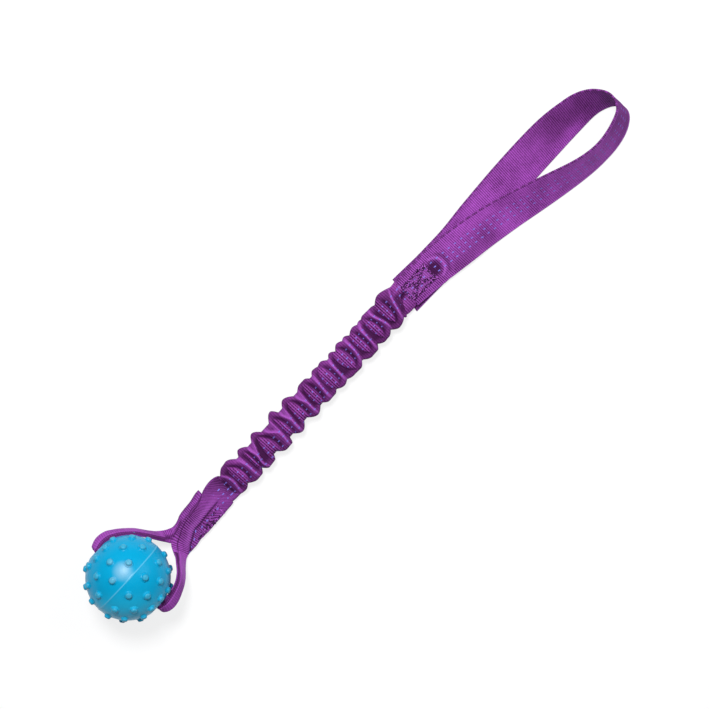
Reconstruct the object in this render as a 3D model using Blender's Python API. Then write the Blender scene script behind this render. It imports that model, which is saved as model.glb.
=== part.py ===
"""A bungee tug toy: a nubbed rubber ball on a tape strap, a gathered tape sleeve over an
elastic core, and a hand loop of the same tape. It lies on the ground as it is laid down:
+X runs from the ball to the hand loop, +Z is up, and the ball's bore lies along Y."""
import math

import bmesh
import bpy
import numpy as np
from mathutils import Vector

# Clearances and overruns
GAP = 0.0003
CUT_OVERRUN = 0.002

# Tape
TAPE_WIDTH = 0.0254
TAPE_THICKNESS = 0.0014
TAPE_PLY = 0.0007
TAPE_EDGE_SHARE = 0.3
LEAD_SHARES = (0.5, 0.85, 0.97)

# Ball
BALL_RADIUS = 0.0275
BALL_SIDE_OFFSET = 0.0073
BORE_RADIUS = 0.0058
BORE_RIM_RADIUS = 0.0012
NUB_HEIGHT = 0.0021
NUB_RADIUS = 0.0022
NUB_ROOT = 0.0009
NUB_SIDES = 8
NUB_PROFILE_SHARES = ((1.0, 0.12), (0.84, 0.58), (0.48, 0.92))
NUB_ROWS = ((14.5, 11, 0.5), (35.0, 11, 0.0), (59.5, 10, 0.5))
PARTING_BEAD_HEIGHT = 0.00025
PARTING_BEAD_ANGLE = math.radians(1.2)
BALL_SIDES = 48
BALL_ARC_STEPS = 10
RIM_STEPS = 3

# Strap that carries the ball
STRAP_REACH = 0.043
STRAP_LEG_WIDTH = 0.0115
STRAP_LEG_THICKNESS = 0.0029
STRAP_BORE_WIDTH = 0.0098
STRAP_BORE_THICKNESS = 0.0042
STRAP_STRAIGHT = 0.0050
STRAP_CREASE_DEPTH = 0.0030
STRAP_FLAT_CREASE_DEPTH = 0.0001
STRAP_FRONT_WIDTH = 0.0140
STRAP_BACK_WIDTH = 0.0130
STRAP_FRONT_OFFSET = -0.0032
STRAP_BACK_OFFSET = 0.0030
STRAP_STEPS = 74
FLAT_ROLL = 90.0
LEAVING_ROLL = 87.0
MOUTH_ROLL = 2.0

# Sewn flat end beside the ball
STRAP_SEAM_LENGTH = 0.0490
STRAP_FRONT_END_WIDTH = 0.0185
STRAP_CUT_LENGTH = 0.0270
STRAP_CUT_SLANT = 0.0030
STRAP_STITCH_LENGTH = 0.0240
STRAP_STITCH_WIDTH = 0.0125
STRAP_STITCH_INSET = 0.0030

# Gathered sleeve and its elastic core
SLEEVE_LENGTH = 0.1635
SLEEVE_WIDTH = 0.0222
SLEEVE_HEIGHT = 0.0142
SLEEVE_END_WIDTH = 0.0196
SLEEVE_END_HEIGHT = 0.0064
SLEEVE_TAPER_LENGTH = 0.0085
SLEEVE_SQUARENESS = 2.6
GATHERS = 12
GATHER_DEPTH = 0.0024
GATHER_SLANT = 0.0034
GATHER_SWELL_SHARE = 0.62
GATHER_RIDGE_POWER = 3
GATHER_SWELL_POWER = 1.2
GATHER_UNEVEN_SHARE = 0.22
GATHER_STEPS = 9
SLEEVE_SIDES = 24
CORE_WIDTH = 0.0150
CORE_THICKNESS = 0.0030
CORE_TAB_WIDTH = 0.0140
CORE_TAB_THICKNESS = 0.0012
CORE_TAB_LENGTH = 0.0110
CORE_STEPS = 14

# Sewn base of the hand loop
HANDLE_SEAM_LENGTH = 0.0262
HANDLE_FRONT_END_WIDTH = 0.0222
HANDLE_CUT_SLANT = 0.0042
HANDLE_STITCH_LENGTH = 0.0215
HANDLE_STITCH_WIDTH = 0.0120

# Hand loop
HANDLE_LOOP_LENGTH = 0.1600
LOOP_STEPS = 96

# Box stitch threads
THREAD_WIDTH = 0.0011
THREAD_HEIGHT = 0.0005

# Shading and steps along curves
SMOOTH_ANGLE = math.radians(40.0)
CURVE_STEPS = 24
LAYER_STEPS = 8
RAMP_STEPS = 5

# Edges of the hand loop, from the back layer out round the tip to the front layer:
# (share of the loop's length, share of the tape's width sideways, share of it up)
LOOP_LOWER_EDGE_SHARES = (
    (0.000, -0.540, 0.028),
    (0.135, -0.560, 0.028),
    (0.275, -0.485, 0.028),
    (0.485, -0.425, 0.028),
    (0.690, -0.405, 0.028),
    (0.825, -0.405, 0.028),
    (0.915, -0.430, 0.028),
    (0.975, -0.560, 0.028),
    (1.010, -0.740, 0.028),
    (1.018, -0.940, 0.028),
    (0.995, -1.150, 0.028),
    (0.940, -1.320, 0.028),
    (0.865, -1.410, 0.028),
    (0.775, -1.415, 0.028),
    (0.685, -1.350, 0.028),
    (0.570, -1.190, 0.028),
    (0.460, -1.010, 0.028),
    (0.355, -0.870, 0.030),
    (0.240, -0.750, 0.045),
    (0.130, -0.660, 0.115),
    (0.032, -0.585, 0.095),
    (0.000, -0.560, 0.095),
)
LOOP_UPPER_EDGE_SHARES = (
    (0.000, 0.445, 0.030),
    (0.135, 0.410, 0.110),
    (0.275, 0.480, 0.215),
    (0.485, 0.565, 0.235),
    (0.690, 0.545, 0.320),
    (0.845, 0.410, 0.610),
    (0.900, 0.300, 0.720),
    (0.945, 0.140, 0.835),
    (0.975, -0.025, 0.915),
    (0.993, -0.215, 0.975),
    (0.995, -0.425, 1.015),
    (0.985, -0.600, 0.995),
    (0.955, -0.765, 0.950),
    (0.895, -0.915, 0.910),
    (0.830, -0.980, 0.905),
    (0.765, -0.955, 0.895),
    (0.685, -0.820, 0.862),
    (0.580, -0.545, 0.780),
    (0.482, -0.276, 0.680),
    (0.378, -0.030, 0.555),
    (0.265, 0.165, 0.405),
    (0.155, 0.300, 0.275),
    (0.095, 0.350, 0.165),
    (0.034, 0.400, 0.095),
    (0.000, 0.420, 0.095),
)

# Leg of the strap on the ball: (angle from the bore in degrees, radius as a share of the
# radius over the nubs, height as a share of the bore's height, roll from upright in degrees)
FRONT_LEG_SHARES = (
    (14.0, 1.110, 0.985, 8.0),
    (28.0, 1.135, 0.900, 14.0),
    (44.0, 1.135, 0.700, 20.0),
    (58.0, 1.160, 0.410, 34.0),
)
BACK_LEG_SHARES = (
    (13.0, 1.060, 0.985, 6.0),
    (29.0, 1.075, 0.880, 12.0),
    (47.0, 1.060, 0.690, 20.0),
    (66.0, 1.070, 0.400, 34.0),
)
MOUTH_TURN_SHARES = ((0.36, 0.95), (0.06, 0.55))

# Places worked out from the sizes above
NUBBED_RADIUS = BALL_RADIUS + NUB_HEIGHT
LAYER_STACK = 2 * TAPE_THICKNESS + GAP
FOLD_RADIUS = LAYER_STACK / 2
FRONT_LAYER_THICKNESS = 2 * TAPE_PLY + CORE_TAB_THICKNESS + 2 * GAP
FRONT_LAYER_BASE = TAPE_THICKNESS + GAP
STITCH_BASE = FRONT_LAYER_BASE + FRONT_LAYER_THICKNESS + GAP
TAB_HEIGHT = FRONT_LAYER_BASE + FRONT_LAYER_THICKNESS / 2
STRAP_SEAM_START = STRAP_REACH + FOLD_RADIUS + GAP
SLEEVE_START = STRAP_REACH + STRAP_SEAM_LENGTH
SLEEVE_END = SLEEVE_START + SLEEVE_LENGTH
HANDLE_SEAM_START = SLEEVE_END + GAP
HANDLE_FOLD = HANDLE_SEAM_START + HANDLE_SEAM_LENGTH
HANDLE_SEAM_END = HANDLE_FOLD - FOLD_RADIUS - GAP


def make_material(name, colour, roughness):
    """A plain surface of one colour."""
    material = bpy.data.materials.new(name)
    material.use_nodes = True
    shader = material.node_tree.nodes["Principled BSDF"]
    shader.inputs["Base Color"].default_value = (*colour, 1.0)
    shader.inputs["Roughness"].default_value = roughness
    shader.inputs["Metallic"].default_value = 0.0
    material.diffuse_color = (*colour, 1.0)
    return material


def rubber():
    """Satin turquoise rubber."""
    return make_material("turquoise_rubber", (0.01, 0.36, 0.62), 0.38)


def tape_cloth():
    """Satin purple woven tape."""
    return make_material("purple_tape", (0.22, 0.03, 0.33), 0.45)


def elastic_cloth():
    """White braided elastic."""
    return make_material("white_elastic", (0.75, 0.74, 0.70), 0.80)


def thread_cloth():
    """Purple sewing thread."""
    return make_material("purple_thread", (0.16, 0.02, 0.25), 0.55)


def add_object(name, vertices, faces, material):
    """A mesh object of its own, shaded smooth up to an angle between its faces."""
    mesh = bpy.data.meshes.new(name)
    mesh.from_pydata([tuple(v) for v in vertices], [], faces)
    mesh.materials.append(material)
    mesh.shade_smooth()
    mesh.set_sharp_from_angle(angle=SMOOTH_ANGLE)
    piece = bpy.data.objects.new(name, mesh)
    bpy.context.scene.collection.objects.link(piece)
    return piece


def grid_faces(rings, sides, close_rings=False):
    """Quads between neighbouring rings of points, each ring closed on itself."""
    faces = []
    for ring in range(rings if close_rings else rings - 1):
        after = (ring + 1) % rings
        for side in range(sides):
            beside = (side + 1) % sides
            faces.append((ring * sides + side, ring * sides + beside,
                          after * sides + beside, after * sides + side))
    return faces


def skin(name, rings, material):
    """A closed solid through rings of points, with a flat face on each end ring."""
    count, sides = rings.shape[:2]
    faces = grid_faces(count, sides)
    faces.append(tuple(reversed(range(sides))))
    faces.append(tuple((count - 1) * sides + side for side in range(sides)))
    piece = add_object(name, rings.reshape(-1, 3), faces, material)
    face_outwards(piece)
    return piece


def face_outwards(piece):
    """Turns every face of a closed solid outwards."""
    shape = bmesh.new()
    shape.from_mesh(piece.data)
    bmesh.ops.recalc_face_normals(shape, faces=shape.faces)
    shape.to_mesh(piece.data)
    shape.free()


def combine(piece, other, operation):
    """Joins or cuts one closed solid by another, and removes the other."""
    change = piece.modifiers.new(operation.lower(), "BOOLEAN")
    change.operation = operation
    change.solver = "EXACT"
    change.object = other
    depsgraph = bpy.context.evaluated_depsgraph_get()
    result = bpy.data.meshes.new_from_object(piece.evaluated_get(depsgraph))
    piece.modifiers.clear()
    piece.data = result
    result.shade_smooth()
    result.set_sharp_from_angle(angle=SMOOTH_ANGLE)
    bpy.data.objects.remove(other)


def smooth_curve(points, steps):
    """Points at equal distances along a smooth curve through the given ones."""
    points = np.array(points, dtype=float)
    ends = np.vstack([2 * points[:1] - points[1:2], points, 2 * points[-1:] - points[-2:-1]])
    share = np.linspace(0, 1, CURVE_STEPS, endpoint=False)[:, None]
    runs = []
    for before, start, end, after in zip(ends, ends[1:], ends[2:], ends[3:]):
        first = end - before
        second = 2 * before - 5 * start + 4 * end - after
        third = 3 * start - before - 3 * end + after
        runs.append(start + (first * share + second * share**2 + third * share**3) / 2)
    fine = np.vstack(runs + [points[-1:]])
    strides = np.linalg.norm(np.diff(fine[:, :3], axis=0), axis=1)
    travelled = np.concatenate([[0], np.cumsum(strides)])
    stops = np.linspace(0, travelled[-1], steps)
    return np.column_stack([np.interp(stops, travelled, column) for column in fine.T])


def unit(vectors):
    """Vectors of length one."""
    return vectors / np.linalg.norm(vectors, axis=-1, keepdims=True)


def tape_outline(width, thickness):
    """The section of a flat tape: eight points, with its two edges rounded off."""
    edge = thickness * TAPE_EDGE_SHARE
    half, side = width / 2, thickness / 2
    return np.array([
        (-half, -edge), (-half + edge, -side), (half - edge, -side), (half, -edge),
        (half, edge), (half - edge, side), (-half + edge, side), (-half, edge),
    ])


def folded_outline(width, thickness, crease):
    """The section of a tape folded lengthwise: a slim U, with the crease between its two
    leaves open on its first edge, or on its second for a crease under nothing."""
    edge = thickness * TAPE_EDGE_SHARE
    half, side = width / 2, thickness / 2
    first, second = np.maximum((crease, -crease), STRAP_FLAT_CREASE_DEPTH)
    return np.array([
        (-half + first, 0.0), (-half, -edge), (-half + edge, -side), (half - edge, -side),
        (half, -edge), (half - second, 0.0), (half, edge), (half - edge, side),
        (-half + edge, side), (-half, edge),
    ])


def sweep(centres, across, outlines, square_ends):
    """Rings of a section carried along a route; across is the section's wide direction.
    The first and last few rings, square_ends of them, stand square to X."""
    along = unit(np.gradient(centres, axis=0))
    along[:square_ends] = (math.copysign(1, along[0, 0]), 0, 0)
    along[-square_ends:] = (math.copysign(1, along[-1, 0]), 0, 0)
    across = unit(across - along * np.sum(across * along, axis=1, keepdims=True))
    normal = np.cross(along, across)
    return (centres[:, None] + outlines[:, :, :1] * across[:, None]
            + outlines[:, :, 1:] * normal[:, None])


def round_fold_end(rings, fold, towards):
    """Rounds the end of a layer that turns about the fold line, to a half round about it."""
    past = np.clip((rings[..., 0] - fold) * towards, 0, FOLD_RADIUS)
    reach = np.sqrt(FOLD_RADIUS**2 - past**2)
    height = rings[..., 2]
    under = TAPE_THICKNESS - height
    over = height - TAPE_THICKNESS - GAP
    squeeze = (reach - GAP / 2) / TAPE_THICKNESS
    rounded = np.where(height < FOLD_RADIUS, TAPE_THICKNESS - under * squeeze,
                       TAPE_THICKNESS + GAP + over * squeeze)
    rings[..., 2] = np.where(past > 0, rounded, height)
    return rings


def add_leads(route, towards):
    """Adds stations past each end of a route, up to the rounded end at the fold line."""
    leads = []
    for share in LEAD_SHARES:
        step = np.zeros(route.shape[1])
        step[0] = towards * FOLD_RADIUS * share
        leads.append(step)
    before = [route[0] + step for step in reversed(leads)]
    return np.vstack(before + [route] + [route[-1] + step for step in leads])


def ball_profile():
    """(radius from the bore's axis, place along it) round half the ball's section."""
    rim_centre_radius = BORE_RADIUS + BORE_RIM_RADIUS
    rim_reach = math.sqrt((BALL_RADIUS - BORE_RIM_RADIUS)**2 - rim_centre_radius**2)
    lean = math.atan2(rim_centre_radius, rim_reach)
    profile = []
    for step in range(RIM_STEPS + 1):
        turn = math.pi - (math.pi / 2 + lean) * step / RIM_STEPS
        turn = max(turn, math.pi / 2 - lean)
        profile.append((rim_centre_radius + BORE_RIM_RADIUS * math.cos(turn),
                        rim_reach + BORE_RIM_RADIUS * math.sin(turn)))
    start = math.pi / 2 - lean
    for step in range(1, BALL_ARC_STEPS + 1):
        latitude = start + (PARTING_BEAD_ANGLE - start) * step / BALL_ARC_STEPS
        profile.append((BALL_RADIUS * math.cos(latitude), BALL_RADIUS * math.sin(latitude)))
    mirrored = [(radius, -place) for radius, place in reversed(profile)]
    return profile + [(BALL_RADIUS + PARTING_BEAD_HEIGHT, 0.0)] + mirrored


def nub_mesh(directions):
    """Small domes standing on the ball, each one closed solid, all in one mesh."""
    vertices, faces = [], []
    for direction in directions:
        side = direction.orthogonal().normalized()
        other = direction.cross(side)
        rows = [(NUB_RADIUS, BALL_RADIUS - NUB_ROOT)]
        rows += [(NUB_RADIUS * wide, BALL_RADIUS + NUB_HEIGHT * high)
                 for wide, high in NUB_PROFILE_SHARES]
        first = len(vertices)
        for radius, height in rows:
            for step in range(NUB_SIDES):
                turn = math.tau * step / NUB_SIDES
                vertices.append(direction * height
                                + (side * math.cos(turn) + other * math.sin(turn)) * radius)
        vertices.append(direction * (BALL_RADIUS + NUB_HEIGHT))
        faces += [tuple(first + k for k in face) for face in grid_faces(len(rows), NUB_SIDES)]
        faces.append(tuple(first + k for k in reversed(range(NUB_SIDES))))
        top = first + (len(rows) - 1) * NUB_SIDES
        faces += [(top + k, top + (k + 1) % NUB_SIDES, len(vertices) - 1)
                  for k in range(NUB_SIDES)]
    return vertices, faces


def nub_directions():
    """The way each nub points: rows of them on both sides of the parting line."""
    directions = []
    for latitude, count, shift in NUB_ROWS:
        for side in (1, -1):
            lift = math.radians(latitude) * side
            for step in range(count):
                turn = math.tau * (step + shift) / count
                directions.append(Vector((math.cos(lift) * math.sin(turn), math.sin(lift),
                                          math.cos(lift) * math.cos(turn))))
    return directions


def ball_height():
    """The height of the ball's centre, standing on its lowest nubs."""
    vertices, _ = nub_mesh(nub_directions())
    return -min(vertex.z for vertex in vertices)


def make_ball(material):
    """The ball: a bored sphere with a parting bead, with its nubs joined on."""
    profile = ball_profile()
    turns = math.tau * np.arange(BALL_SIDES) / BALL_SIDES
    radius, place = np.array(profile).T
    rings = np.stack([np.outer(radius, np.sin(turns)),
                      np.repeat(place[:, None], BALL_SIDES, axis=1),
                      np.outer(radius, np.cos(turns))], axis=2)
    faces = grid_faces(len(profile), BALL_SIDES, close_rings=True)
    ball = add_object("ball", rings.reshape(-1, 3), faces, material)
    face_outwards(ball)
    nubs = add_object("nubs", *nub_mesh(nub_directions()), material)
    face_outwards(nubs)
    combine(ball, nubs, "UNION")
    return ball


def leg_points(rows, side, fold_offset, fold_height, bore_height):
    """Points of one leg of the strap from the fold line to the bore's mouth, with its roll,
    width, thickness and crease at each. side is -1 for the leg in front, 1 for the other."""
    flat = (STRAP_FRONT_WIDTH if side < 0 else STRAP_BACK_WIDTH, TAPE_THICKNESS,
            0.0)
    folded = (STRAP_LEG_WIDTH, STRAP_LEG_THICKNESS, side * STRAP_CREASE_DEPTH)
    bunched = (STRAP_BORE_WIDTH, STRAP_BORE_THICKNESS, 0.0)
    points = [(STRAP_REACH, fold_offset, fold_height, FLAT_ROLL, *flat),
              (STRAP_REACH - STRAP_STRAIGHT, fold_offset, fold_height, LEAVING_ROLL, *flat)]
    for angle, radius_share, height_share, roll in reversed(rows):
        radius = NUBBED_RADIUS * radius_share
        points.append((radius * math.sin(math.radians(angle)),
                       BALL_SIDE_OFFSET + side * radius * math.cos(math.radians(angle)),
                       bore_height * height_share, roll, *folded))
    for forward_share, out_share in MOUTH_TURN_SHARES:
        points.append((BORE_RADIUS * forward_share,
                       BALL_SIDE_OFFSET + side * (BALL_RADIUS + BORE_RADIUS * out_share),
                       bore_height, MOUTH_ROLL, *bunched))
    points.append((0.0, BALL_SIDE_OFFSET + side * (BALL_RADIUS - BORE_RADIUS), bore_height, 0.0,
                   *bunched))
    return points


def make_strap_loop(material, bore_height):
    """The folded tape through the ball: down one leg, through the bore and back."""
    front = leg_points(FRONT_LEG_SHARES, -1, STRAP_FRONT_OFFSET,
                       FRONT_LAYER_BASE + TAPE_THICKNESS / 2, bore_height)
    back = leg_points(BACK_LEG_SHARES, 1, STRAP_BACK_OFFSET, TAPE_THICKNESS / 2, bore_height)
    route = add_leads(smooth_curve(front + list(reversed(back)), STRAP_STEPS), 1)
    roll = np.radians(route[:, 3])
    across = np.stack([np.zeros_like(roll), np.sin(roll), np.cos(roll)], axis=1)
    outlines = np.stack([folded_outline(*section) for section in route[:, 4:]])
    rings = sweep(route[:, :3], across, outlines, len(LEAD_SHARES) + 1)
    rings[..., 2] = np.maximum(rings[..., 2], 0)
    return skin("strap_loop", round_fold_end(rings, STRAP_REACH, 1), material)


def layer(name, material, start, end, base, thickness, sizes, slant=0.0):
    """A flat layer of tape lying along X. sizes are its width and sideways offset at the
    start and at the end; slant moves one corner of the cut end along X."""
    (start_width, start_offset), (end_width, end_offset) = sizes
    stations = np.linspace(0, 1, LAYER_STEPS + 1)
    ease = stations**2 * (3 - 2 * stations)
    rings = []
    for station, share in zip(stations, ease):
        width = start_width + (end_width - start_width) * share
        offset = start_offset + (end_offset - start_offset) * share
        outline = tape_outline(width, thickness)
        along = start + (end - start) * station
        skew = slant * station * outline[:, 0] / width
        rings.append(np.stack([along + skew, offset + outline[:, 0],
                               base + thickness / 2 + outline[:, 1]], axis=1))
    return skin(name, np.array(rings), material)


def box_cutter(name, low, high):
    """A plain block between two corners, to cut with."""
    shape = bmesh.new()
    bmesh.ops.create_cube(shape, size=1.0)
    low, high = Vector(low), Vector(high)
    bmesh.ops.scale(shape, vec=high - low, verts=shape.verts)
    bmesh.ops.translate(shape, vec=(low + high) / 2, verts=shape.verts)
    mesh = bpy.data.meshes.new(name)
    shape.to_mesh(mesh)
    shape.free()
    block = bpy.data.objects.new(name, mesh)
    bpy.context.scene.collection.objects.link(block)
    return block


def cut_pocket(front, mouth, inward):
    """Opens the flat tube of a front layer at its sleeve end, for the core's sewn tab."""
    depth = CORE_TAB_LENGTH + GAP
    ends = sorted((mouth - inward * CUT_OVERRUN, mouth + inward * depth))
    half_width = CORE_TAB_WIDTH / 2 + GAP
    half_height = CORE_TAB_THICKNESS / 2 + GAP
    pocket = box_cutter("pocket", (ends[0], -half_width, TAB_HEIGHT - half_height),
                        (ends[1], half_width, TAB_HEIGHT + half_height))
    combine(front, pocket, "DIFFERENCE")


def make_strap_seam(material):
    """The two layers of tape sewn together beside the ball."""
    front = layer("strap_front_layer", material, STRAP_SEAM_START, SLEEVE_START - GAP,
                  FRONT_LAYER_BASE, FRONT_LAYER_THICKNESS,
                  ((STRAP_FRONT_WIDTH, STRAP_FRONT_OFFSET), (STRAP_FRONT_END_WIDTH, 0.0)))
    cut_pocket(front, SLEEVE_START - GAP, -1)
    back = layer("strap_back_layer", material, STRAP_SEAM_START, STRAP_REACH + STRAP_CUT_LENGTH,
                 0.0, TAPE_THICKNESS,
                 ((STRAP_BACK_WIDTH, STRAP_BACK_OFFSET), (TAPE_WIDTH, 0.0)), STRAP_CUT_SLANT)
    return front, back


def make_handle_seam(material):
    """The two layers of tape sewn together at the base of the hand loop."""
    lower, upper = LOOP_LOWER_EDGE_SHARES, LOOP_UPPER_EDGE_SHARES
    front_offset = TAPE_WIDTH * (lower[-1][1] + upper[-1][1]) / 2
    back_offset = TAPE_WIDTH * (lower[0][1] + upper[0][1]) / 2
    front = layer("handle_front_layer", material, HANDLE_SEAM_END, HANDLE_SEAM_START,
                  FRONT_LAYER_BASE, FRONT_LAYER_THICKNESS,
                  ((TAPE_WIDTH, front_offset), (HANDLE_FRONT_END_WIDTH, 0.0)))
    cut_pocket(front, HANDLE_SEAM_START, 1)
    back = layer("handle_back_layer", material, HANDLE_SEAM_END,
                 HANDLE_SEAM_START + HANDLE_CUT_SLANT / 2, 0.0, TAPE_THICKNESS,
                 ((TAPE_WIDTH, back_offset), (TAPE_WIDTH, 0.0)), HANDLE_CUT_SLANT)
    return front, back


def make_box_stitch(name, material, start, length, width, offset):
    """A sewn box with a cross in it: a flat frame of thread lying on the front layer."""
    low = (start, offset - width / 2, STITCH_BASE)
    high = (start + length, offset + width / 2, STITCH_BASE + THREAD_HEIGHT)
    stitch = box_cutter(name, low, high)
    stitch.data.materials.append(material)
    middle = Vector((start + length / 2, offset))
    slope = math.atan2(width, length)
    half_thread = THREAD_WIDTH / 2
    corners = [Vector((low[0], low[1])), Vector((high[0], low[1])),
               Vector((high[0], high[1])), Vector((low[0], high[1]))]
    vertices, faces = [], []
    for number, (first, second) in enumerate(zip(corners, corners[1:] + corners[:1])):
        outward = ((first + second) / 2 - middle).normalized()
        lean = slope if number % 2 == 0 else math.pi / 2 - slope
        tip = middle + outward * (half_thread / math.sin(math.pi / 2 - lean))
        floor = ((first + second) / 2 - middle).length - THREAD_WIDTH
        run = (second - first).normalized()
        spread = (floor - (tip - middle).length) / math.tan(lean)
        base = middle + outward * floor
        base_index = len(vertices)
        for level in (low[2] - CUT_OVERRUN, high[2] + CUT_OVERRUN):
            vertices += [(*tip, level), (*(base - run * spread), level),
                         (*(base + run * spread), level)]
        faces += [tuple(base_index + k for k in face)
                  for face in ((0, 1, 2), (3, 5, 4), (0, 3, 4, 1), (1, 4, 5, 2), (2, 5, 3, 0))]
    cutter = add_object("stitch_windows", vertices, faces, material)
    face_outwards(cutter)
    combine(stitch, cutter, "DIFFERENCE")
    return stitch


def super_ellipse(half_width, half_height, turns, squareness):
    """Points round a rounded box: an ellipse with its corners filled out."""
    power = 2 / squareness
    across = np.sign(np.cos(turns)) * np.abs(np.cos(turns)) ** power * half_width
    up = np.sign(np.sin(turns)) * np.abs(np.sin(turns)) ** power * half_height
    return across, up


def core_rings(widening, tab_reach):
    """Rings of the elastic core, or of the sleeve's bore round it when widened: flat tabs at
    both ends, and the full elastic between them, lifted to the middle of the sleeve."""
    stations = np.linspace(SLEEVE_START - tab_reach, SLEEVE_END + tab_reach, CORE_STEPS + 1)
    ramps = np.linspace(SLEEVE_START, SLEEVE_START + SLEEVE_TAPER_LENGTH, RAMP_STEPS)
    mirrored = SLEEVE_END - (ramps - SLEEVE_START)
    inner = stations[(stations > ramps[-1]) & (stations < mirrored[-1])]
    stations = np.concatenate([[SLEEVE_START - tab_reach] if tab_reach else [], ramps, inner,
                               mirrored[::-1], [SLEEVE_END + tab_reach] if tab_reach else []])
    inside = np.minimum(stations - SLEEVE_START, SLEEVE_END - stations)
    share = np.clip(inside / SLEEVE_TAPER_LENGTH, 0, 1)
    ease = share**2 * (3 - 2 * share)
    turns = math.tau * np.arange(SLEEVE_SIDES) / SLEEVE_SIDES
    rings = []
    for station, full in zip(stations, ease):
        width = CORE_TAB_WIDTH + (CORE_WIDTH - CORE_TAB_WIDTH) * full
        thickness = CORE_TAB_THICKNESS + (CORE_THICKNESS - CORE_TAB_THICKNESS) * full
        height = TAB_HEIGHT + (SLEEVE_HEIGHT / 2 - TAB_HEIGHT) * full
        across, up = super_ellipse(width / 2 + widening, thickness / 2 + widening, turns,
                                   2 * SLEEVE_SQUARENESS)
        rings.append(np.stack([np.full_like(across, station), across, height + up], axis=1))
    return np.array(rings)


def make_core(material):
    """The flat elastic inside the sleeve, with a tab at each end to be sewn through."""
    return skin("bungee_core", core_rings(0.0, CORE_TAB_LENGTH), material)


def gather_wave(turns):
    """Height of the gathers, 0 to 1, at a number of turns: a narrow ridge and, half a turn
    on, a broad low swell, with a groove on either side of each."""
    wave = np.cos(math.tau * turns)
    ridge = ((1 + wave) / 2) ** GATHER_RIDGE_POWER
    swell = ((1 - wave) / 2) ** GATHER_SWELL_POWER
    return ridge + GATHER_SWELL_SHARE * swell


def make_sleeve(material):
    """The gathered tube of tape: slanting ridges and swells round an open bore."""
    stations = np.linspace(SLEEVE_START, SLEEVE_END, GATHERS * GATHER_STEPS + 1)
    inside = np.minimum(stations - SLEEVE_START, SLEEVE_END - stations)
    share = np.clip(inside / SLEEVE_TAPER_LENGTH, 0, 1)
    full = (share**2 * (3 - 2 * share))[:, None]
    turns = (math.tau * np.arange(SLEEVE_SIDES) / SLEEVE_SIDES)[None]
    pitch = SLEEVE_LENGTH / GATHERS
    phase = (stations[:, None] - SLEEVE_START + GATHER_SLANT * np.cos(turns)) / pitch
    uneven = 1 + GATHER_UNEVEN_SHARE * np.sin(math.sqrt(7) * phase + math.cos(1) * turns)
    depth = GATHER_DEPTH * (1 - gather_wave(phase)) * full * uneven
    half_width = (SLEEVE_END_WIDTH + (SLEEVE_WIDTH - SLEEVE_END_WIDTH) * full) / 2 - depth
    half_height = (SLEEVE_END_HEIGHT + (SLEEVE_HEIGHT - SLEEVE_END_HEIGHT) * full) / 2 - depth
    middle = (SLEEVE_END_HEIGHT + (SLEEVE_HEIGHT - SLEEVE_END_HEIGHT) * full) / 2
    across, up = super_ellipse(half_width, half_height, turns, SLEEVE_SQUARENESS)
    along = np.repeat(stations[:, None], SLEEVE_SIDES, axis=1)
    outer = np.stack([along, across, np.maximum(middle + up, 0)], axis=2)
    bore = core_rings(GAP, 0.0)
    rings = np.concatenate([outer, bore[::-1]])
    faces = grid_faces(len(rings), SLEEVE_SIDES, close_rings=True)
    sleeve = add_object("bungee_sleeve", rings.reshape(-1, 3), faces, material)
    face_outwards(sleeve)
    return sleeve


def make_handle_loop(material):
    """The hand loop: one tape between its two edge lines, kept at the tape's own width."""
    scale = np.array([HANDLE_LOOP_LENGTH, TAPE_WIDTH, TAPE_WIDTH])
    start = np.array([HANDLE_FOLD, 0.0, 0.0])
    lower = smooth_curve(start + scale * np.array(LOOP_LOWER_EDGE_SHARES), LOOP_STEPS)
    upper = smooth_curve(start + scale * np.array(LOOP_UPPER_EDGE_SHARES), LOOP_STEPS)
    across = unit(upper - lower)
    across[[0, -1]] = (0, 1, 0)
    centres = lower + across * TAPE_WIDTH / 2
    route = add_leads(np.hstack([centres, across]), -1)
    outlines = np.repeat(tape_outline(TAPE_WIDTH, TAPE_THICKNESS)[None], len(route), axis=0)
    rings = sweep(route[:, :3], route[:, 3:], outlines, len(LEAD_SHARES) + 1)
    rings[..., 2] = np.maximum(rings[..., 2], 0)
    return skin("handle_loop", round_fold_end(rings, HANDLE_FOLD, -1), material)


def make_empty(name, place):
    """An empty that marks a joint's axis or the toy's origin."""
    empty = bpy.data.objects.new(name, None)
    empty.location = place
    empty.empty_display_size = TAPE_WIDTH
    bpy.context.scene.collection.objects.link(empty)
    return empty


def hang_from(parent, pieces, place):
    """Parents pieces to an empty, keeping them where they are."""
    for piece in pieces:
        piece.parent = parent
        piece.location = -Vector(place)


def whole_box(pieces):
    """The lowest and highest corner round all the pieces."""
    points = [piece.matrix_world @ Vector(corner) for piece in pieces for corner in piece.bound_box]
    low = Vector([min(point[k] for point in points) for k in range(3)])
    high = Vector([max(point[k] for point in points) for k in range(3)])
    return low, high


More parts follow.
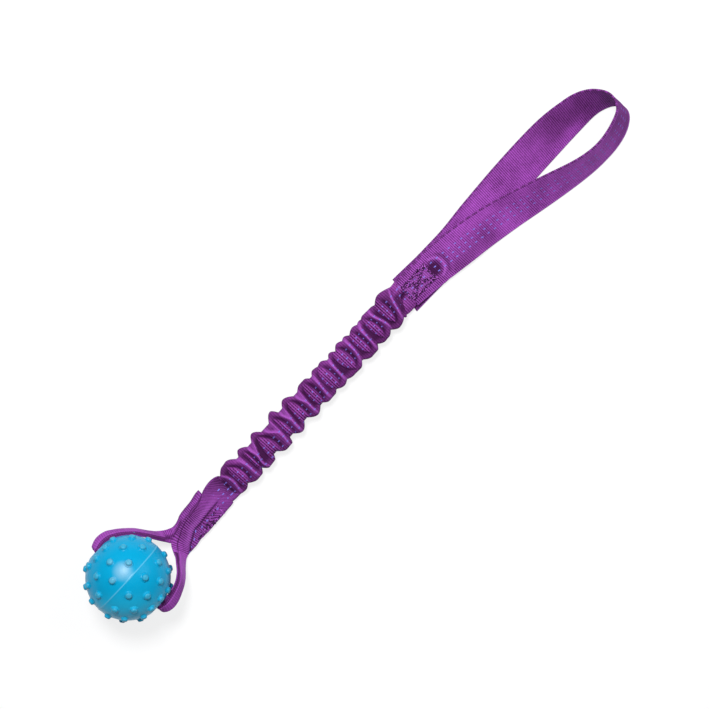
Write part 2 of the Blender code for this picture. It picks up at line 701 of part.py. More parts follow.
def main():
    for piece in list(bpy.data.objects):
        bpy.data.objects.remove(piece)
    tape, elastic, thread = tape_cloth(), elastic_cloth(), thread_cloth()
    bore_height = ball_height()
    ball = make_ball(rubber())
    strap = make_strap_loop(tape, bore_height)
    strap_layers = make_strap_seam(tape)
    strap_stitch = make_box_stitch(
        "strap_box_stitch", thread, STRAP_SEAM_START + STRAP_STITCH_INSET, STRAP_STITCH_LENGTH,
        STRAP_STITCH_WIDTH, STRAP_FRONT_OFFSET)
    sleeve, core = make_sleeve(tape), make_core(elastic)
    handle_layers = make_handle_seam(tape)
    handle_stitch = make_box_stitch(
        "handle_box_stitch", thread,
        (HANDLE_SEAM_START + HANDLE_SEAM_END - HANDLE_STITCH_LENGTH) / 2,
        HANDLE_STITCH_LENGTH, HANDLE_STITCH_WIDTH, 0.0)
    loop = make_handle_loop(tape)

    ball_place = (0.0, BALL_SIDE_OFFSET, bore_height)
    ball.location = ball_place
    bpy.context.view_layer.update()
    pieces = [ball, strap, *strap_layers, strap_stitch, sleeve, core, *handle_layers,
              handle_stitch, loop]
    low, high = whole_box(pieces)
    origin = Vector(((low.x + high.x) / 2, (low.y + high.y) / 2, low.z))

    toy = make_empty("toy", -origin)
    joints = (
        ("ball_axis", ball_place, [ball]),
        ("strap_fold_axis", (STRAP_REACH, 0.0, FOLD_RADIUS), [strap]),
        ("stretch_axis", (SLEEVE_START, 0.0, TAB_HEIGHT), [*strap_layers, strap_stitch]),
        ("swing_axis", (SLEEVE_END, 0.0, TAB_HEIGHT), [sleeve, core]),
        ("handle_fold_axis", (HANDLE_FOLD, 0.0, FOLD_RADIUS),
         [*handle_layers, handle_stitch]),
        ("hand_loop_base", (HANDLE_FOLD, 0.0, 0.0), [loop]),
    )
    for name, place, members in joints:
        axis = make_empty(name, place)
        axis.parent = toy
        hang_from(axis, members, place)
    ball.location = (0.0, 0.0, 0.0)


main()
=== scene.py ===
"""Looks of a bungee tug toy on a pale floor, seen from straight above. Lengths are in millimetres
until put_mesh takes them into the part's frame: x runs from the ball's centre to the hand loop,
y from the sleeve's mid line towards the strap's back leg, z up."""
import math

import bpy
import numpy as np
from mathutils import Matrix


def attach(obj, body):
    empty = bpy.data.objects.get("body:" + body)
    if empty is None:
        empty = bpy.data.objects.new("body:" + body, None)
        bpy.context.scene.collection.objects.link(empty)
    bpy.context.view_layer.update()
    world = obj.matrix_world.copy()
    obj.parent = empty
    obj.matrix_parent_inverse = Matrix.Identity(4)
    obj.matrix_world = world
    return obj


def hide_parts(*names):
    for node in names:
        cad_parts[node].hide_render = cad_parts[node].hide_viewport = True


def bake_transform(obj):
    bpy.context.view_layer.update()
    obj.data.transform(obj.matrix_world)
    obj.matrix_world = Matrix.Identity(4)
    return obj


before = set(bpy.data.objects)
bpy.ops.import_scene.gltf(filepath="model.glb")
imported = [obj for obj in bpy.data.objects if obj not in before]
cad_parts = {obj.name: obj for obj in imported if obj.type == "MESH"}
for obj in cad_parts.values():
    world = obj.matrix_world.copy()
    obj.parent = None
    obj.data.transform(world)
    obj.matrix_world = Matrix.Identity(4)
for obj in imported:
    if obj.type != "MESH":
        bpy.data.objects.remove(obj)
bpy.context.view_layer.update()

# Where the ball's centre line and the sleeve's mid line cross, in the part's frame
TOY_PLACE = np.array([-209.136, -2.672, 0])

# Tape: its woven stripe is rows of short dashes along it. EDGE_TURNS are degrees round an edge,
# and nothing of it lies below LOWEST
TAPE_WIDTH = 25.4
TAPE_THICKNESS = 1.3
EDGE_TURNS = (30, 65, 90, 115, 150)
RIB_PITCH = 1.36
PATCH_RIB_PITCH = 1.52
DASH_PITCH = 5.1
DASH_SPACING = 4.05
LOWEST = 0.02

# Thread
STITCH_LENGTH = 1.4
THREAD_RADIUS = 0.27

# Ball. Its rows of nubs on each side: degrees from the parting line, nubs, and the first one's
# share of a step
BALL_CENTRE = np.array([0, 7.3, 28.759])
BALL_RADIUS = 27.5
BALL_TILT = math.radians(2.5)
BORE_RADIUS = 5.8
MOUTH_RADIUS = 1.3
NUB_RADIUS = 2.2
NUB_HEIGHT = 1.95
NUB_ROWS = ((14.5, 11, 0.71), (35, 11, 0.21), (59.5, 10, 0.69))

# View: a photo of 709 pixels, 0.657 mm each, from a height of 1.5 m
VIEW_TURN = math.radians(-47.2)
VIEW_MIDDLE = np.array([-0.0045, -0.0047, 0])
VIEW_WIDTH = 0.709 * 0.657
VIEW_HEIGHT = 1.5

# Edges of the hand loop from the back layer round the tip to the front layer: x, y, z
LOOP_LOWER_EDGE = (
    (282, -13.7, 0.7), (303.6, -14.2, 0.7), (326, -12.3, 0.7), (359.6, -10.8, 0.7),
    (392.4, -10.3, 0.7), (414, -10.3, 0.7), (428.4, -10.9, 0.7), (438, -14.2, 0.7),
    (442.8, -18.8, 0.7), (444, -23.9, 0.7), (440.7, -29, 0.7), (432.4, -33.5, 0.7),
    (420.4, -35.8, 0.7), (406, -35.9, 0.7), (391.6, -34.3, 0.7), (373.2, -30.9, 0.7),
    (355.6, -27.1, 0.7), (338.8, -23.3, 0.8), (320.4, -19.8, 1.2), (302.8, -17.2, 2.9),
    (287.1, -14.9, 2.5), (282, -14.2, 2.4),
)
LOOP_UPPER_EDGE = (
    (282, 11.3, 0.8), (303.6, 10.4, 2.8), (326, 12.2, 5.5), (359.6, 14.4, 6), (392.4, 13.8, 8.1),
    (417.2, 10.4, 15.5), (426, 7.6, 18.3), (433.2, 3.6, 21.2), (437.5, -0.9, 23.2),
    (440.1, -5.7, 24.8), (440.1, -10.8, 25.8), (438.2, -15.2, 25.3), (434.8, -19.4, 24.1),
    (425.2, -23.2, 23.1), (414.8, -24.9, 23), (404.4, -24.3, 22.7), (391.6, -20.8, 21.9),
    (374.8, -13.8, 19.8), (359.1, -7, 17.3), (342.5, -0.8, 14.1), (324.4, 4.2, 10.3),
    (306.8, 7.6, 7), (297.2, 8.9, 4.2), (287.4, 10.2, 2.5), (282, 10.7, 2.4),
)

# Folds of the gathered sleeve from the ball's end. Each ridge: x at y = -9, -3, 3 and 9, and how
# far it spreads into a broad saddle on its left
RIDGES = (
    (88.3, 89.6, 89.5, 85.6, 0), (104.5, 104.5, 104.3, 102.6, 1), (112.8, 113, 115.6, 117.2, 4.2),
    (133.4, 134.4, 134.8, 134.6, 6.2), (144.9, 145.6, 146.5, 147.2, 3.5),
    (160.7, 160.8, 161.4, 161.9, 3.2), (173.8, 174.3, 175.3, 175.8, 0.5),
    (189.1, 189.2, 189.9, 190.9, 0.5), (204.2, 206.2, 207.1, 207.1, 0.5),
    (217.9, 218.5, 219.2, 221, 0.7), (232.8, 233.6, 232.1, 231.3, 0.3),
    (243.6, 245.4, 247.4, 250, 0),
)
# Ribbed patch between each ridge and the next: x of its middle and its half width at y = -6,
# 0 and 6, and the y where it closes at either end
PATCHES = (
    (95.5, 95.6, 94.6, 3.4, 3.9, 2.7, -15, 9.2), (108.6, 108.8, 108.6, 1.1, 1.3, 1.1, -9, 8.6),
    (122.7, 122.8, 122, 5.2, 4.4, 1.9, -16, 9.4), (138.8, 139, 138.2, 1.9, 2.1, 1.3, -15, 9.8),
    (152.1, 152.4, 152.3, 3.6, 3.6, 2.5, -15, 10), (167, 167, 167.2, 2.9, 3.4, 2.6, -9.6, 10.4),
    (181.7, 181.6, 181.8, 3.6, 4.2, 3.1, -9.8, 10.8),
    (198.4, 197.9, 197.5, 3.1, 4.7, 4, -9.8, 10.8),
    (212.8, 212.4, 212.4, 2.3, 3.1, 2.7, -9.8, 10.4), (226.2, 226, 225.4, 2.2, 3, 2.1, -9.6, 10.4),
    (238.5, 238.7, 238.6, 1.7, 3.3, 3.6, -8.4, 14), (254, 254, 254, 1, 1, 1, -9, 9),
)
# Outline of the gathered sleeve at its left and right: x and the distance from the mid line,
# with a minus in a notch
LEFT_OUTLINE = (
    (78, 11.1), (80.5, 11.2), (85.7, -7.9), (92, 11.8), (95.7, 12.3), (102, -8.3), (103.9, -8.2),
    (107, 11.6), (113, -8.3), (116.6, -8.4), (120.8, 12.3), (126, -8.4), (133.3, -8.4),
    (139.4, 13.2), (143, -8.8), (146.6, -8.8), (151, 12.4), (157.6, -8.8), (161, -8.8), (166, 11.2),
    (170, 11.2), (173.2, -8.9), (175.2, -8.9), (178.2, 11.2), (182.6, -10.3), (185.5, 11.2),
    (189.6, -8.8), (191, -8.7), (193.8, 10.8), (197.6, -8.6), (201.8, 11.5), (205.6, -10),
    (208, 11), (211.5, -9), (216.6, 11.2), (220, -10), (222.4, 10.9), (224.2, -10.5), (227, 11.6),
    (234.5, 11.2), (237.2, -10.3), (243.6, 13.5), (248.5, -10.8), (251, 11), (260, 10.8),
)
RIGHT_OUTLINE = (
    (78, 9.7), (86, -9.1), (91.3, 10.2), (95.6, -8.1), (102, 11.2), (106, 11), (109.2, -7.9),
    (113, 11.4), (118.5, 10.9), (121, -7.7), (123.6, -7.7), (129.5, 11.8), (134.5, 11.6),
    (136.3, -7.8), (139.4, -7.7), (145, 11.4), (150.6, -7.4), (153.3, -7.3), (159.8, 11.3),
    (165.2, -8.3), (167.5, -8.2), (171.5, 10.7), (177, 10.5), (180, -8.8), (185.5, 11.1),
    (189.6, -9.5), (194, 11), (201, 11.3), (205, -8.5), (206, -8.5), (211.5, 11.5), (216.8, 11.4),
    (220, -8.5), (225, 11), (228.5, 10.8), (232.6, -8.5), (238, 11.7), (245.3, -9.2), (251, 10.3),
    (260, 10.2),
)

# The strap's route from the sleeve round through the bore to its cut end: x, y, z, roll from
# upright in degrees, width, thickness, place of the pleat's edge and of the selvedge across
# it, and how far the pleat is open
STRAP_ROUTE = (
    (88.6, -0.6, 3, 90, 17.6, 4, -3, 14, 0), (84, -0.2, 2.5, 90, 18.4, 3.4, -3, 14, 0),
    (80, 0.8, 2.5, 90, 20.8, 3.6, -2.6, 14, 0), (75, 0.3, 2.7, 90, 21, 3.6, -1.9, 12.5, 0.25),
    (70, -0.65, 2.9, 90, 19.5, 3.4, -1, 9.4, 0.9), (65, -1.2, 3, 90, 18.6, 3.3, -0.7, 8, 1),
    (60, -1.45, 3, 90, 18.3, 3.3, -0.95, 7.4, 1), (55, -1.85, 3, 90, 17.9, 3.2, -1.05, 7.1, 1),
    (50, -2, 3, 90, 17.2, 3.2, -1.1, 6.7, 1), (46, -2.4, 3, 90, 16.4, 3.2, -2, 6, 1),
    (42, -3.1, 3.1, 90, 16.2, 3.1, -3.3, 5, 1), (38, -3.6, 3.2, 88, 15.6, 3, -4.9, 3.8, 0.9),
    (34.4, -4.9, 3.9, 76, 14.6, 3, -5.7, 3.2, 0.7), (31, -7.3, 5.8, 50, 12.8, 2.9, -6.2, 2.8, 0.3),
    (28.8, -9.9, 8.2, 30, 12, 2.8, -6.6, 3, 0), (26.7, -12.4, 11.5, 21, 11.8, 2.8, -7, 3.4, 0),
    (24.6, -15, 15.5, 17, 11.8, 2.8, -7, 3.6, 0), (22.4, -17.3, 19, 17, 11.8, 2.8, -7, 3.8, 0),
    (19.8, -19.3, 22.2, 20, 11.8, 2.8, -7, 3.8, 0), (17, -20.8, 24.6, 25, 11.8, 2.8, -7, 3.6, 0),
    (13.6, -22, 26.4, 31, 11.8, 2.9, -7, 3.4, 0), (9.6, -22.9, 27.6, 37, 11.6, 3.1, -7, 3.2, 0),
    (5.4, -23.2, 28.3, 40, 11, 3.4, -7, 3, 0), (2, -22.1, 28.7, 40, 10.4, 3.8, -7, 3, 0),
    (0.5, -19.6, 28.76, 32, 9.8, 4, -7, 3, 0), (0, -8, 28.76, 10, 9.8, 4.2, -7, 3, 0),
    (0, 22, 28.76, -10, 9.8, 4.2, -7, 3, 0), (-0.3, 33.4, 28.76, -30, 9.8, 4, -7, 3, 0),
    (1.2, 35.4, 28.76, -34, 10.2, 3.7, -7, 3, 0), (5.2, 36.4, 28.6, -31, 10.6, 3.3, -7, 3, 0),
    (10.2, 35.6, 28.2, -26, 11.2, 2.9, -7, 3, 0), (14.2, 33.3, 27, -21, 11.4, 2.7, -7, 3, 0),
    (17.7, 30.6, 25.1, -17, 11.6, 2.7, -7, 3.2, 0), (20.9, 27.4, 22.4, -14, 11.6, 2.7, -7, 3.4, 0),
    (23.6, 23.9, 19.4, -12, 11.6, 2.7, -7, 3.4, 0), (26, 19.6, 15.3, -12, 11.6, 2.7, -7, 3.4, 0),
    (28.2, 15.3, 11, -18, 11.6, 2.7, -7, 3, 0), (30.3, 11.4, 7.4, -32, 11.6, 2.6, -7, 2.6, 0),
    (32.6, 8.2, 4.2, -56, 11.2, 2.3, -7, 2.4, 0), (35.2, 5.6, 2.3, -76, 10.8, 1.9, -7, 2.6, 0),
    (38.4, 3.6, 1, -88, 11, 1.5, -9, 9, 0), (42, 2.6, 0.72, -90, 12.4, 1.3, -10, 10, 0),
    (46, 2.1, 0.7, -90, 15, 1.3, -12, 12, 0), (51, 2, 0.7, -90, 18, 1.3, -14, 14, 0),
    (60, 1.5, 0.7, -90, 20.2, 1.3, -14, 14, 0), (66, 1.4, 0.7, -90, 22.6, 1.3, -14, 14, 0),
    (68.7, 1.2, 0.7, -90, 23.4, 1.3, -14, 14, 0),
)


# Numbers and curves

def unit(vectors):
    """Vectors of length one."""
    return vectors / np.maximum(np.linalg.norm(vectors, axis=-1, keepdims=True), 1e-9)


def share_of(values, low, high):
    """0 below low, 1 above high, and straight between."""
    return np.clip((values - low) / (high - low), 0, 1)


def ease(values, low, high):
    """0 below low, 1 above high, and 3t^2 - 2t^3 between."""
    share = share_of(values, low, high)
    return share * share * (3 - 2 * share)


def bump(values, width):
    """exp(-(v / width)^2)."""
    return np.exp(-(values / width) ** 2)


def fall(values, low, high):
    """1 below low, 0 above high, and smooth between."""
    return 1 - ease(values, low, high)


def window(values, low, full, fading, high):
    """Rises from low to full and falls again from fading to high."""
    return ease(values, low, full) * fall(values, fading, high)


def blot(x, y):
    """exp(-x^2 - y^2)."""
    return bump(np.hypot(x, y), 1)


def drawn_together(count, bend):
    """Numbers from -1 to 1, closer towards both ends: bend sin(pi t / 2) + (1 - bend) t."""
    even = np.linspace(-1, 1, count)
    return bend * np.sin(even * math.pi / 2) + (1 - bend) * even


def zipped(*values):
    """The values side by side along a new last axis."""
    return np.stack(np.broadcast_arrays(*values), axis=-1)


def travelled(points):
    """Distance along a row of points from the first."""
    strides = np.linalg.norm(np.diff(points, axis=0), axis=1)
    return np.r_[0, np.cumsum(strides)]


def smooth_curve(points, steps):
    """Points at equal distances along a Catmull-Rom curve through the given rows."""
    points = np.array(points, dtype=float)
    ends = np.r_[2 * points[:1] - points[1:2], points, 2 * points[-1:] - points[-2:-1]]
    share = np.linspace(0, 1, 40, endpoint=False)[None, :, None]
    before, start, end, after = (ends[k:len(ends) - 3 + k, None] for k in range(4))
    fine = start + ((end - before) * share + (2 * before - 5 * start + 4 * end - after) * share**2
                    + (3 * start - before - 3 * end + after) * share**3) / 2
    fine = np.r_[fine.reshape(-1, points.shape[1]), points[-1:]]
    distance = travelled(fine[:, :3])
    stops = np.linspace(0, distance[-1], steps)
    return np.column_stack([np.interp(stops, distance, column) for column in fine.T])


def dash_middle(x):
    """y of the sleeve's middle row of dashes at x, by straight lines."""
    return np.interp(x, (80, 100, 115, 140, 160, 180, 205, 235, 255),
                     (-1, -2.5, -4.2, -4.2, -3.2, -1.5, 0.3, 1.6, 2.5))


# Meshes. Tape has two marks at its points. weave is the place across it, along it and along
# its dashes, 0 where it has none. folds is a crest's painted sheen, a groove's painted shade and
# the strength of the ribs

def add_object(name, data):
    """A new object in the scene."""
    added = bpy.data.objects.new(name, data)
    bpy.context.scene.collection.objects.link(added)
    return added


def put_mesh(name, rings, loop=False, **marks):
    """A smooth mesh of one tube or many through rings of points, turned to face outwards by its
    volume. loop joins the last ring to the first, which are capped otherwise. marks are named
    triples at the points."""
    points = rings.reshape(-1, 3)
    index = np.arange(len(points)).reshape(-1, *rings.shape[-3:-1])
    caps = [] if loop else [cap for tube in index for cap in (tube[0, ::-1], tube[-1])]
    index = np.concatenate([index, index[:, :, :1]], axis=2)
    if loop:
        index = np.concatenate([index, index[:, :1]], axis=1)
    quads = np.stack([index[:, :-1, :-1], index[:, :-1, 1:], index[:, 1:, 1:],
                      index[:, 1:, :-1]], axis=3).reshape(-1, 4)
    corners = points[quads]
    volume = np.einsum("ij,ij->i", corners[:, 0] - points[0],
                       np.cross(corners[:, 1] - corners[:, 3], corners[:, 2] - corners[:, 0]))
    if volume.sum() > 0:
        quads = quads[:, ::-1]
        caps = [face[::-1] for face in caps]
    mesh = bpy.data.meshes.new(name)
    mesh.from_pydata(((points + TOY_PLACE) / 1000).tolist(), [], quads.tolist() + caps)
    mesh.shade_smooth()
    for label, values in marks.items():
        mesh.attributes.new(label, "FLOAT_VECTOR", "POINT").data.foreach_set(
            "vector", values.astype(np.float32).ravel())
    return add_object(name, mesh)


def circles(centres, one, two, radius, count):
    """A ring of points c + r (a cos s + b sin s) at every centre."""
    spin = np.linspace(0, math.tau, count, endpoint=False)[:, None]
    return centres[..., None, :] + radius * (
        np.cos(spin) * one[..., None, :] + np.sin(spin) * two[..., None, :])


def around(outer, left, inner, right):
    """Values round a tape: its outer face, an edge, its inner face back and the other edge."""
    return np.concatenate([outer, left, inner[:, ::-1], right], axis=1)


def tape_rings(middle, normal, side, half, relief, across, along):
    """Rings of a tape and their weave marks: its middle surface carried half its thickness to
    both sides, with half-round edges. relief lifts the outer face, where the dashes are."""
    turns = np.radians(EDGE_TURNS)[None, :, None]
    top = middle + normal * (half + relief)[..., None]
    under = middle - normal * half[..., None]
    edges = []
    for column, sign in ((-1, 1), (0, -1)):
        radius = half[:, column, None, None]
        edges.append(middle[:, column, None] + radius * (
            np.cos(turns) * normal[:, column, None] + np.sin(turns) * sign * side[:, column, None]))
    rim = np.zeros((len(middle), len(EDGE_TURNS)))
    wide = across[:, -1:] + 0.3 + rim
    weave = zipped(around(across, wide, across, -wide),
                   around(along, along[:, -1:] + rim, along, along[:, :1] + rim),
                   around(along, rim, 0 * along, rim))
    return around(top, edges[0], under, edges[1][:, ::-1]), weave


# Hand loop

def seam_relief(x, y):
    """Hollows along the box stitch's six lines, a dimple past its far end, a round ridge about it
    and a shaded ring about that, all bumps exp(-(distance / width)^2). Gives the height, and how
    far each place is in a hollow, the dimple and the ring. The ring is no relief, only painted
    shade."""
    near, far, low, high = 257.2, 278.2, -6.6, 4.6
    inside_x = window(x, near - 1.5, near, far, far + 1.5)
    inside_y = window(y, low - 1, low, high, high + 1)
    slope = (high - low) / (far - near)
    lines = [(bump(y - low, 0.8) + bump(y - high, 0.8)) * inside_x,
             (bump(x - near, 0.8) + bump(x - far, 0.9)) * inside_y,
             (bump(y - low - (x - near) * slope, 0.8)
              + bump(y - high + (x - near) * slope, 0.8)) * inside_x * inside_y]
    hollow = np.minimum(sum(lines), 1.2)
    away = np.hypot(x - 281.5, y + 2.3)
    ridge = bump(away - 6.7, 1.5) * ease(x, 279.5, 283)
    dimple = np.minimum(1.8 * bump(away, 4.6), 1) * ease(x, 277.6, 278.6)
    pillow = 0.35 * inside_x * window(y, low - 4, low, high, high + 4)
    # a ring outside the ridge that is only painted shade, in no height
    shaded_ring = bump(away - 9.7, 1.3) * ease(x, 286, 288) * fall(y, 3, 6)
    return pillow - 0.55 * hollow + 0.7 * ridge - 1.25 * dimple, hollow, dimple, shaded_ring


def make_hand_tape():
    """One tape from its cut end under the seam round the hand loop and back over it: points on
    straight lines between two edge curves, plus the seam's relief or low waves sin a sin b."""
    cut_rows, loop_rows, seam_rows, columns = 55, 640, 76, 49
    lower = smooth_curve(LOOP_LOWER_EDGE, loop_rows)
    upper = smooth_curve(LOOP_UPPER_EDGE, loop_rows)
    across = unit(upper - lower)
    lower_cut = np.linspace((253.3, -12.4, 0.7), lower[0], cut_rows + 1)[:-1]
    cut_across = unit(np.linspace((4.3, 25, 0), across[0] * TAPE_WIDTH, cut_rows + 1)[:-1])
    lower_seam = np.linspace(lower[-1], (256.4, -10.9, 3.35), seam_rows + 1)[1:]
    lower = np.r_[lower_cut, lower, lower_seam]
    across = np.r_[cut_across, across, np.tile((0, 1, 0), (seam_rows, 1))]
    width = np.r_[np.full(cut_rows + loop_rows, TAPE_WIDTH),
                  np.linspace(TAPE_WIDTH, 22.2, seam_rows + 1)[1:]]
    share = 0.5 + 0.5 * drawn_together(columns, 0.35)
    row = np.arange(len(lower))[:, None]
    past_tip, seam = row > 400, row >= cut_rows + 600
    inset = np.where(past_tip,
                     np.interp(lower[:, :1], (256, 270, 279, 285, 300, 330),
                               (1.7, 1.9, 1.8, 0.8, 0.4, 0)),
                     0.6 * bump(lower[:, :1] - 277, 20))
    middle = lower[:, None] + across[:, None] * (
        inset + (width[:, None] - 2 * inset) * share)[..., None]
    along = travelled(middle[:, columns // 2])[:, None] + 0 * share
    place_across = (share - 0.5) * TAPE_WIDTH + 0 * along
    normal = unit(np.cross(across[:, None], np.gradient(middle, axis=0)))
    side = unit(np.gradient(middle, axis=1))
    x, y = middle[..., 0], middle[..., 1]
    half = TAPE_THICKNESS / 2 + np.where(seam, 0.95 * fall(x, 279, 284.5), 0)
    tuck = 1.2 * fall(x, 256.4, 257.6)
    relief, hollow, dimple, shaded_ring = seam_relief(x, y)
    waves = 0.16 * np.sin(along / 9 + 1.3 * np.sin(place_across / 6)) * np.sin(
        place_across / 5 + 0.5)
    rings, weave = tape_rings(middle, normal, side, half,
                              np.where(seam, relief - tuck, waves), place_across, along)
    rings[..., 2] = np.maximum(rings[..., 2], LOWEST)

    # Painted light and shade: the loop's tip turns from the light, and the front layer is darker
    # about its seam, with painted shade inside the box, in the stitch hollows, the dimple, a crease
    # and a ring about the dimple. Slopes, a fold shadow by the front leg's upper edge and a strip
    # of the back layer along the seam's edges are painted dark, and the seam's raised places get a
    # painted sheen
    front, back = along > 250, along < 120
    tip = window(along, 85, 152, 205, 245)
    sunlit = 1 - 0.85 * ease(-y, 0, 8) * fall(x, 414, 430)
    slope = (0.4 * ease(-y, -2, 13) * window(x, 284, 292, 318, 338)
             + 0.3 * blot((x - 293) / 4, (y + 1) / 6))
    spot = 0.4 * blot((x - 314) / 7, (y - 8.6) / 2.8)
    boxed = window(x, 256, 258, 277, 279) * bump(y + 1, 6.4)
    crease = bump((y - 1.8) - 0.33 * (x - 272), 0.6) * window(x, 266, 269, 276, 278)
    # painted shade in the stitch hollows, rising and falling along them
    hollow_shade_ripple = 0.55 + 0.45 * np.sin(x * math.tau / 1.9 + 2.2 * np.sin(y * 1.1))
    # painted shade about the seam: its low side, the box, the shaded ring, by the neck, a crease,
    # up to x = 294
    seam_painted_shade = (0.12 * fall(y, -6, 3) * fall(x, 280, 286) + 0.16 * boxed + 0.4 * shaded_ring
            + 0.28 * blot((x - 256.5) / 4, (y - 2) / 3.6) + 0.55 * crease
            + 0.1 * fall(x, 283, 294))
    outer_shade = np.where(seam, np.maximum(seam_painted_shade + slope + 0.75 * hollow * hollow_shade_ripple, dimple),
                           slope * front) + 0.9 * spot * (along < 250)
    strip = (0.9 * ease(-y, 9.6, 10.3) + 0.45 * ease(y, 10.2, 11)) * fall(x, 281, 284) * back
    inner_shade = np.maximum.reduce([
        0.52 * tip * sunlit * (1 - 0.9 * ease(x, 422, 436)),
        0.25 * ease(np.abs(place_across), 7.5, 11.5) * (1 - 0.8 * tip), spot * back, strip])
    outer_ribs = (1 + 0.35 * fall(x, 281, 312) * front) * (
        1 - 0.7 * window(along, 165, 190, 225, 300))
    rim = np.zeros((len(middle), len(EDGE_TURNS)))
    sheen = np.where(seam, np.clip(0.9 * relief - 0.1, 0, 0.6), 0)
    folds = zipped(around(sheen, rim, 0 * x, rim),
                   around(np.maximum(outer_shade, 0.52 * tip), rim, inner_shade, rim),
                   around(outer_ribs, rim + 0.9, 0 * x + 1.02, rim + 0.9))
    return put_mesh("hand_tape", rings, weave=weave, folds=folds)


# Gathered sleeve

def outline(rows, x):
    """Distance of the outline at x: a quarter sine wave from each notch up to its lobe, and a
    straight line between two of a kind."""
    place, reach = np.array(rows).T
    lobe, reach = reach > 0, np.abs(reach)
    k = np.clip(np.searchsorted(place, x) - 1, 0, len(place) - 2)
    t = share_of(x, place[k], place[k + 1])
    rising = reach[k] + (reach[k + 1] - reach[k]) * np.sin(t * math.pi / 2)
    falling = reach[k + 1] + (reach[k] - reach[k + 1]) * np.sin((1 - t) * math.pi / 2)
    flat = reach[k] + (reach[k + 1] - reach[k]) * t
    return np.where(lobe[k] < lobe[k + 1], rising, np.where(lobe[k] > lobe[k + 1], falling, flat))


def ridge_lines(y):
    """x of every ridge at y, by Lagrange's cubic through its four places, and its saddle's
    width."""
    ridges = np.array(RIDGES)
    t = np.clip(y, -10.5, 10.5)[..., None] / 6
    knots = (-1.5, -0.5, 0.5, 1.5)
    line = sum(column * math.prod((t - other) / (own - other) for other in knots if other != own)
               for own, column in zip(knots, ridges.T))
    return line, ridges[:, 4] * ease(y[..., None], -2.5, 7)


def patch_edges(y):
    """x of both edges of every patch at y: its middle and half width by parabolas, closed by
    square roots towards both ends."""
    patches = np.array(PATCHES)
    y = y[..., None]
    t = np.clip(y, -11, 11) / 6
    low, flat, high = t * (t - 1) / 2, 1 - t * t, t * (t + 1) / 2
    middle, half = (patches[:, i] * low + patches[:, i + 1] * flat + patches[:, i + 2] * high
                    for i in (0, 3))
    near, far = (np.sqrt(np.clip(room / 4, 0, 1)) for room in (y - patches[:, 6],
                                                               patches[:, 7] - y))
    half = np.maximum(half, 0.4) * (near * far)
    return middle - half, middle + half


def gathers(x, y):
    """The gathers at x, y: height under the crests, gathers so far, and shares of painted crest
    sheen, painted shade and patch. Between two ridges the cloth runs crest, deep groove, crowned
    patch, crease, rising flank; its height is the largest of the three humps."""
    ridges, saddles = ridge_lines(y)
    left_edges, right_edges = patch_edges(y)
    k = np.sum(x[..., None] >= ridges, axis=-1)
    first, last = k == 0, k == len(RIDGES)

    def pick(values, index):
        return np.take_along_axis(values, np.clip(index, 0, len(RIDGES) - 1)[..., None],
                                  axis=-1)[..., 0]
    before = np.where(first, 75, pick(ridges, k - 1))
    after = np.where(last, 264, pick(ridges, k))
    saddle = np.where(last, 0, pick(saddles, k))
    start = np.where(first, 84.4, pick(left_edges, k - 1))
    end = np.where(first, 84.6, pick(right_edges, k - 1))
    gap = after - saddle
    start = np.where(last, before + 3, np.maximum(start, before + 1))
    end = np.where(last, before + 3.2, np.clip(end, start, gap - 1.4))
    past = np.maximum(x - before, 0)
    crest = np.maximum(bump(past, 0.5) * ~first, bump(np.maximum(gap - x, 0), 0.65) * ~last)
    hump = bump(past, 1.15) * ~first
    span = np.maximum(end - start, 0.05)
    inside = np.clip(1 - (2 * (x - start) / span - 1) ** 2, 0, 1)
    patch = inside**0.55 * ease(span, 0.3, 2.4)
    rise = np.clip((x - end - 0.9) / np.maximum(gap - end - 0.9, 0.6), 0, 1)
    flank = np.where(x > end, 1 - (1 - rise) ** 1.7, 0)
    dip = np.where(x > gap, np.sin(np.clip((x - gap) / np.maximum(saddle, 0.05), 0, 1)
                                   * math.pi) * np.minimum(saddle / 5, 1), 0)
    quirk = 1 + 0.12 * np.sin(k * 2.4 + 0.7)
    height = np.maximum.reduce([3.1 * hump, 2.35 * patch, 3.1 * flank]) - 3.1
    height = np.where(x > gap, -0.25 - 1.3 * dip, height) * quirk
    phase = np.where(x < start, 0.16 * (x - before) / np.maximum(start - before, 0.1),
                     np.where(x < end, 0.16 + 0.5 * (x - start) / span,
                              0.66 + 0.34 * (x - end) / np.maximum(after - end, 0.1)))
    # painted shade in the grooves, on the flanks and in the saddles, eased at the last ridge's
    # upper end
    groove = np.clip(-height - 0.9, 0, 2) / 2 * (1 - 0.75 * patch)
    side = (1 - 0.32 * rise) * (x > end)
    shade = np.maximum(groove, 0.68 * side * (1 - crest))
    shade = np.where(x > gap, 0.75 * dip, shade)
    shade = shade * (1 - 0.9 * last * ease(y, 3, 6.5))
    return height, k - 1 + phase, crest * (1 - dip), np.clip(shade, 0, 1), patch


def tube_section(x, top, under):
    """Shares u of the half width round a flattened tube, from its left over the top to its
    right and back below, which of them are on top, and the outline's distances at x."""
    below = -np.sin(np.linspace(1, -1, under + 2)[1:-1] * math.pi / 2)
    u = np.r_[-drawn_together(top, 0.45), below][None]
    return (u, (np.arange(top + under) < top)[None], outline(LEFT_OUTLINE, x),
            outline(RIGHT_OUTLINE, x))


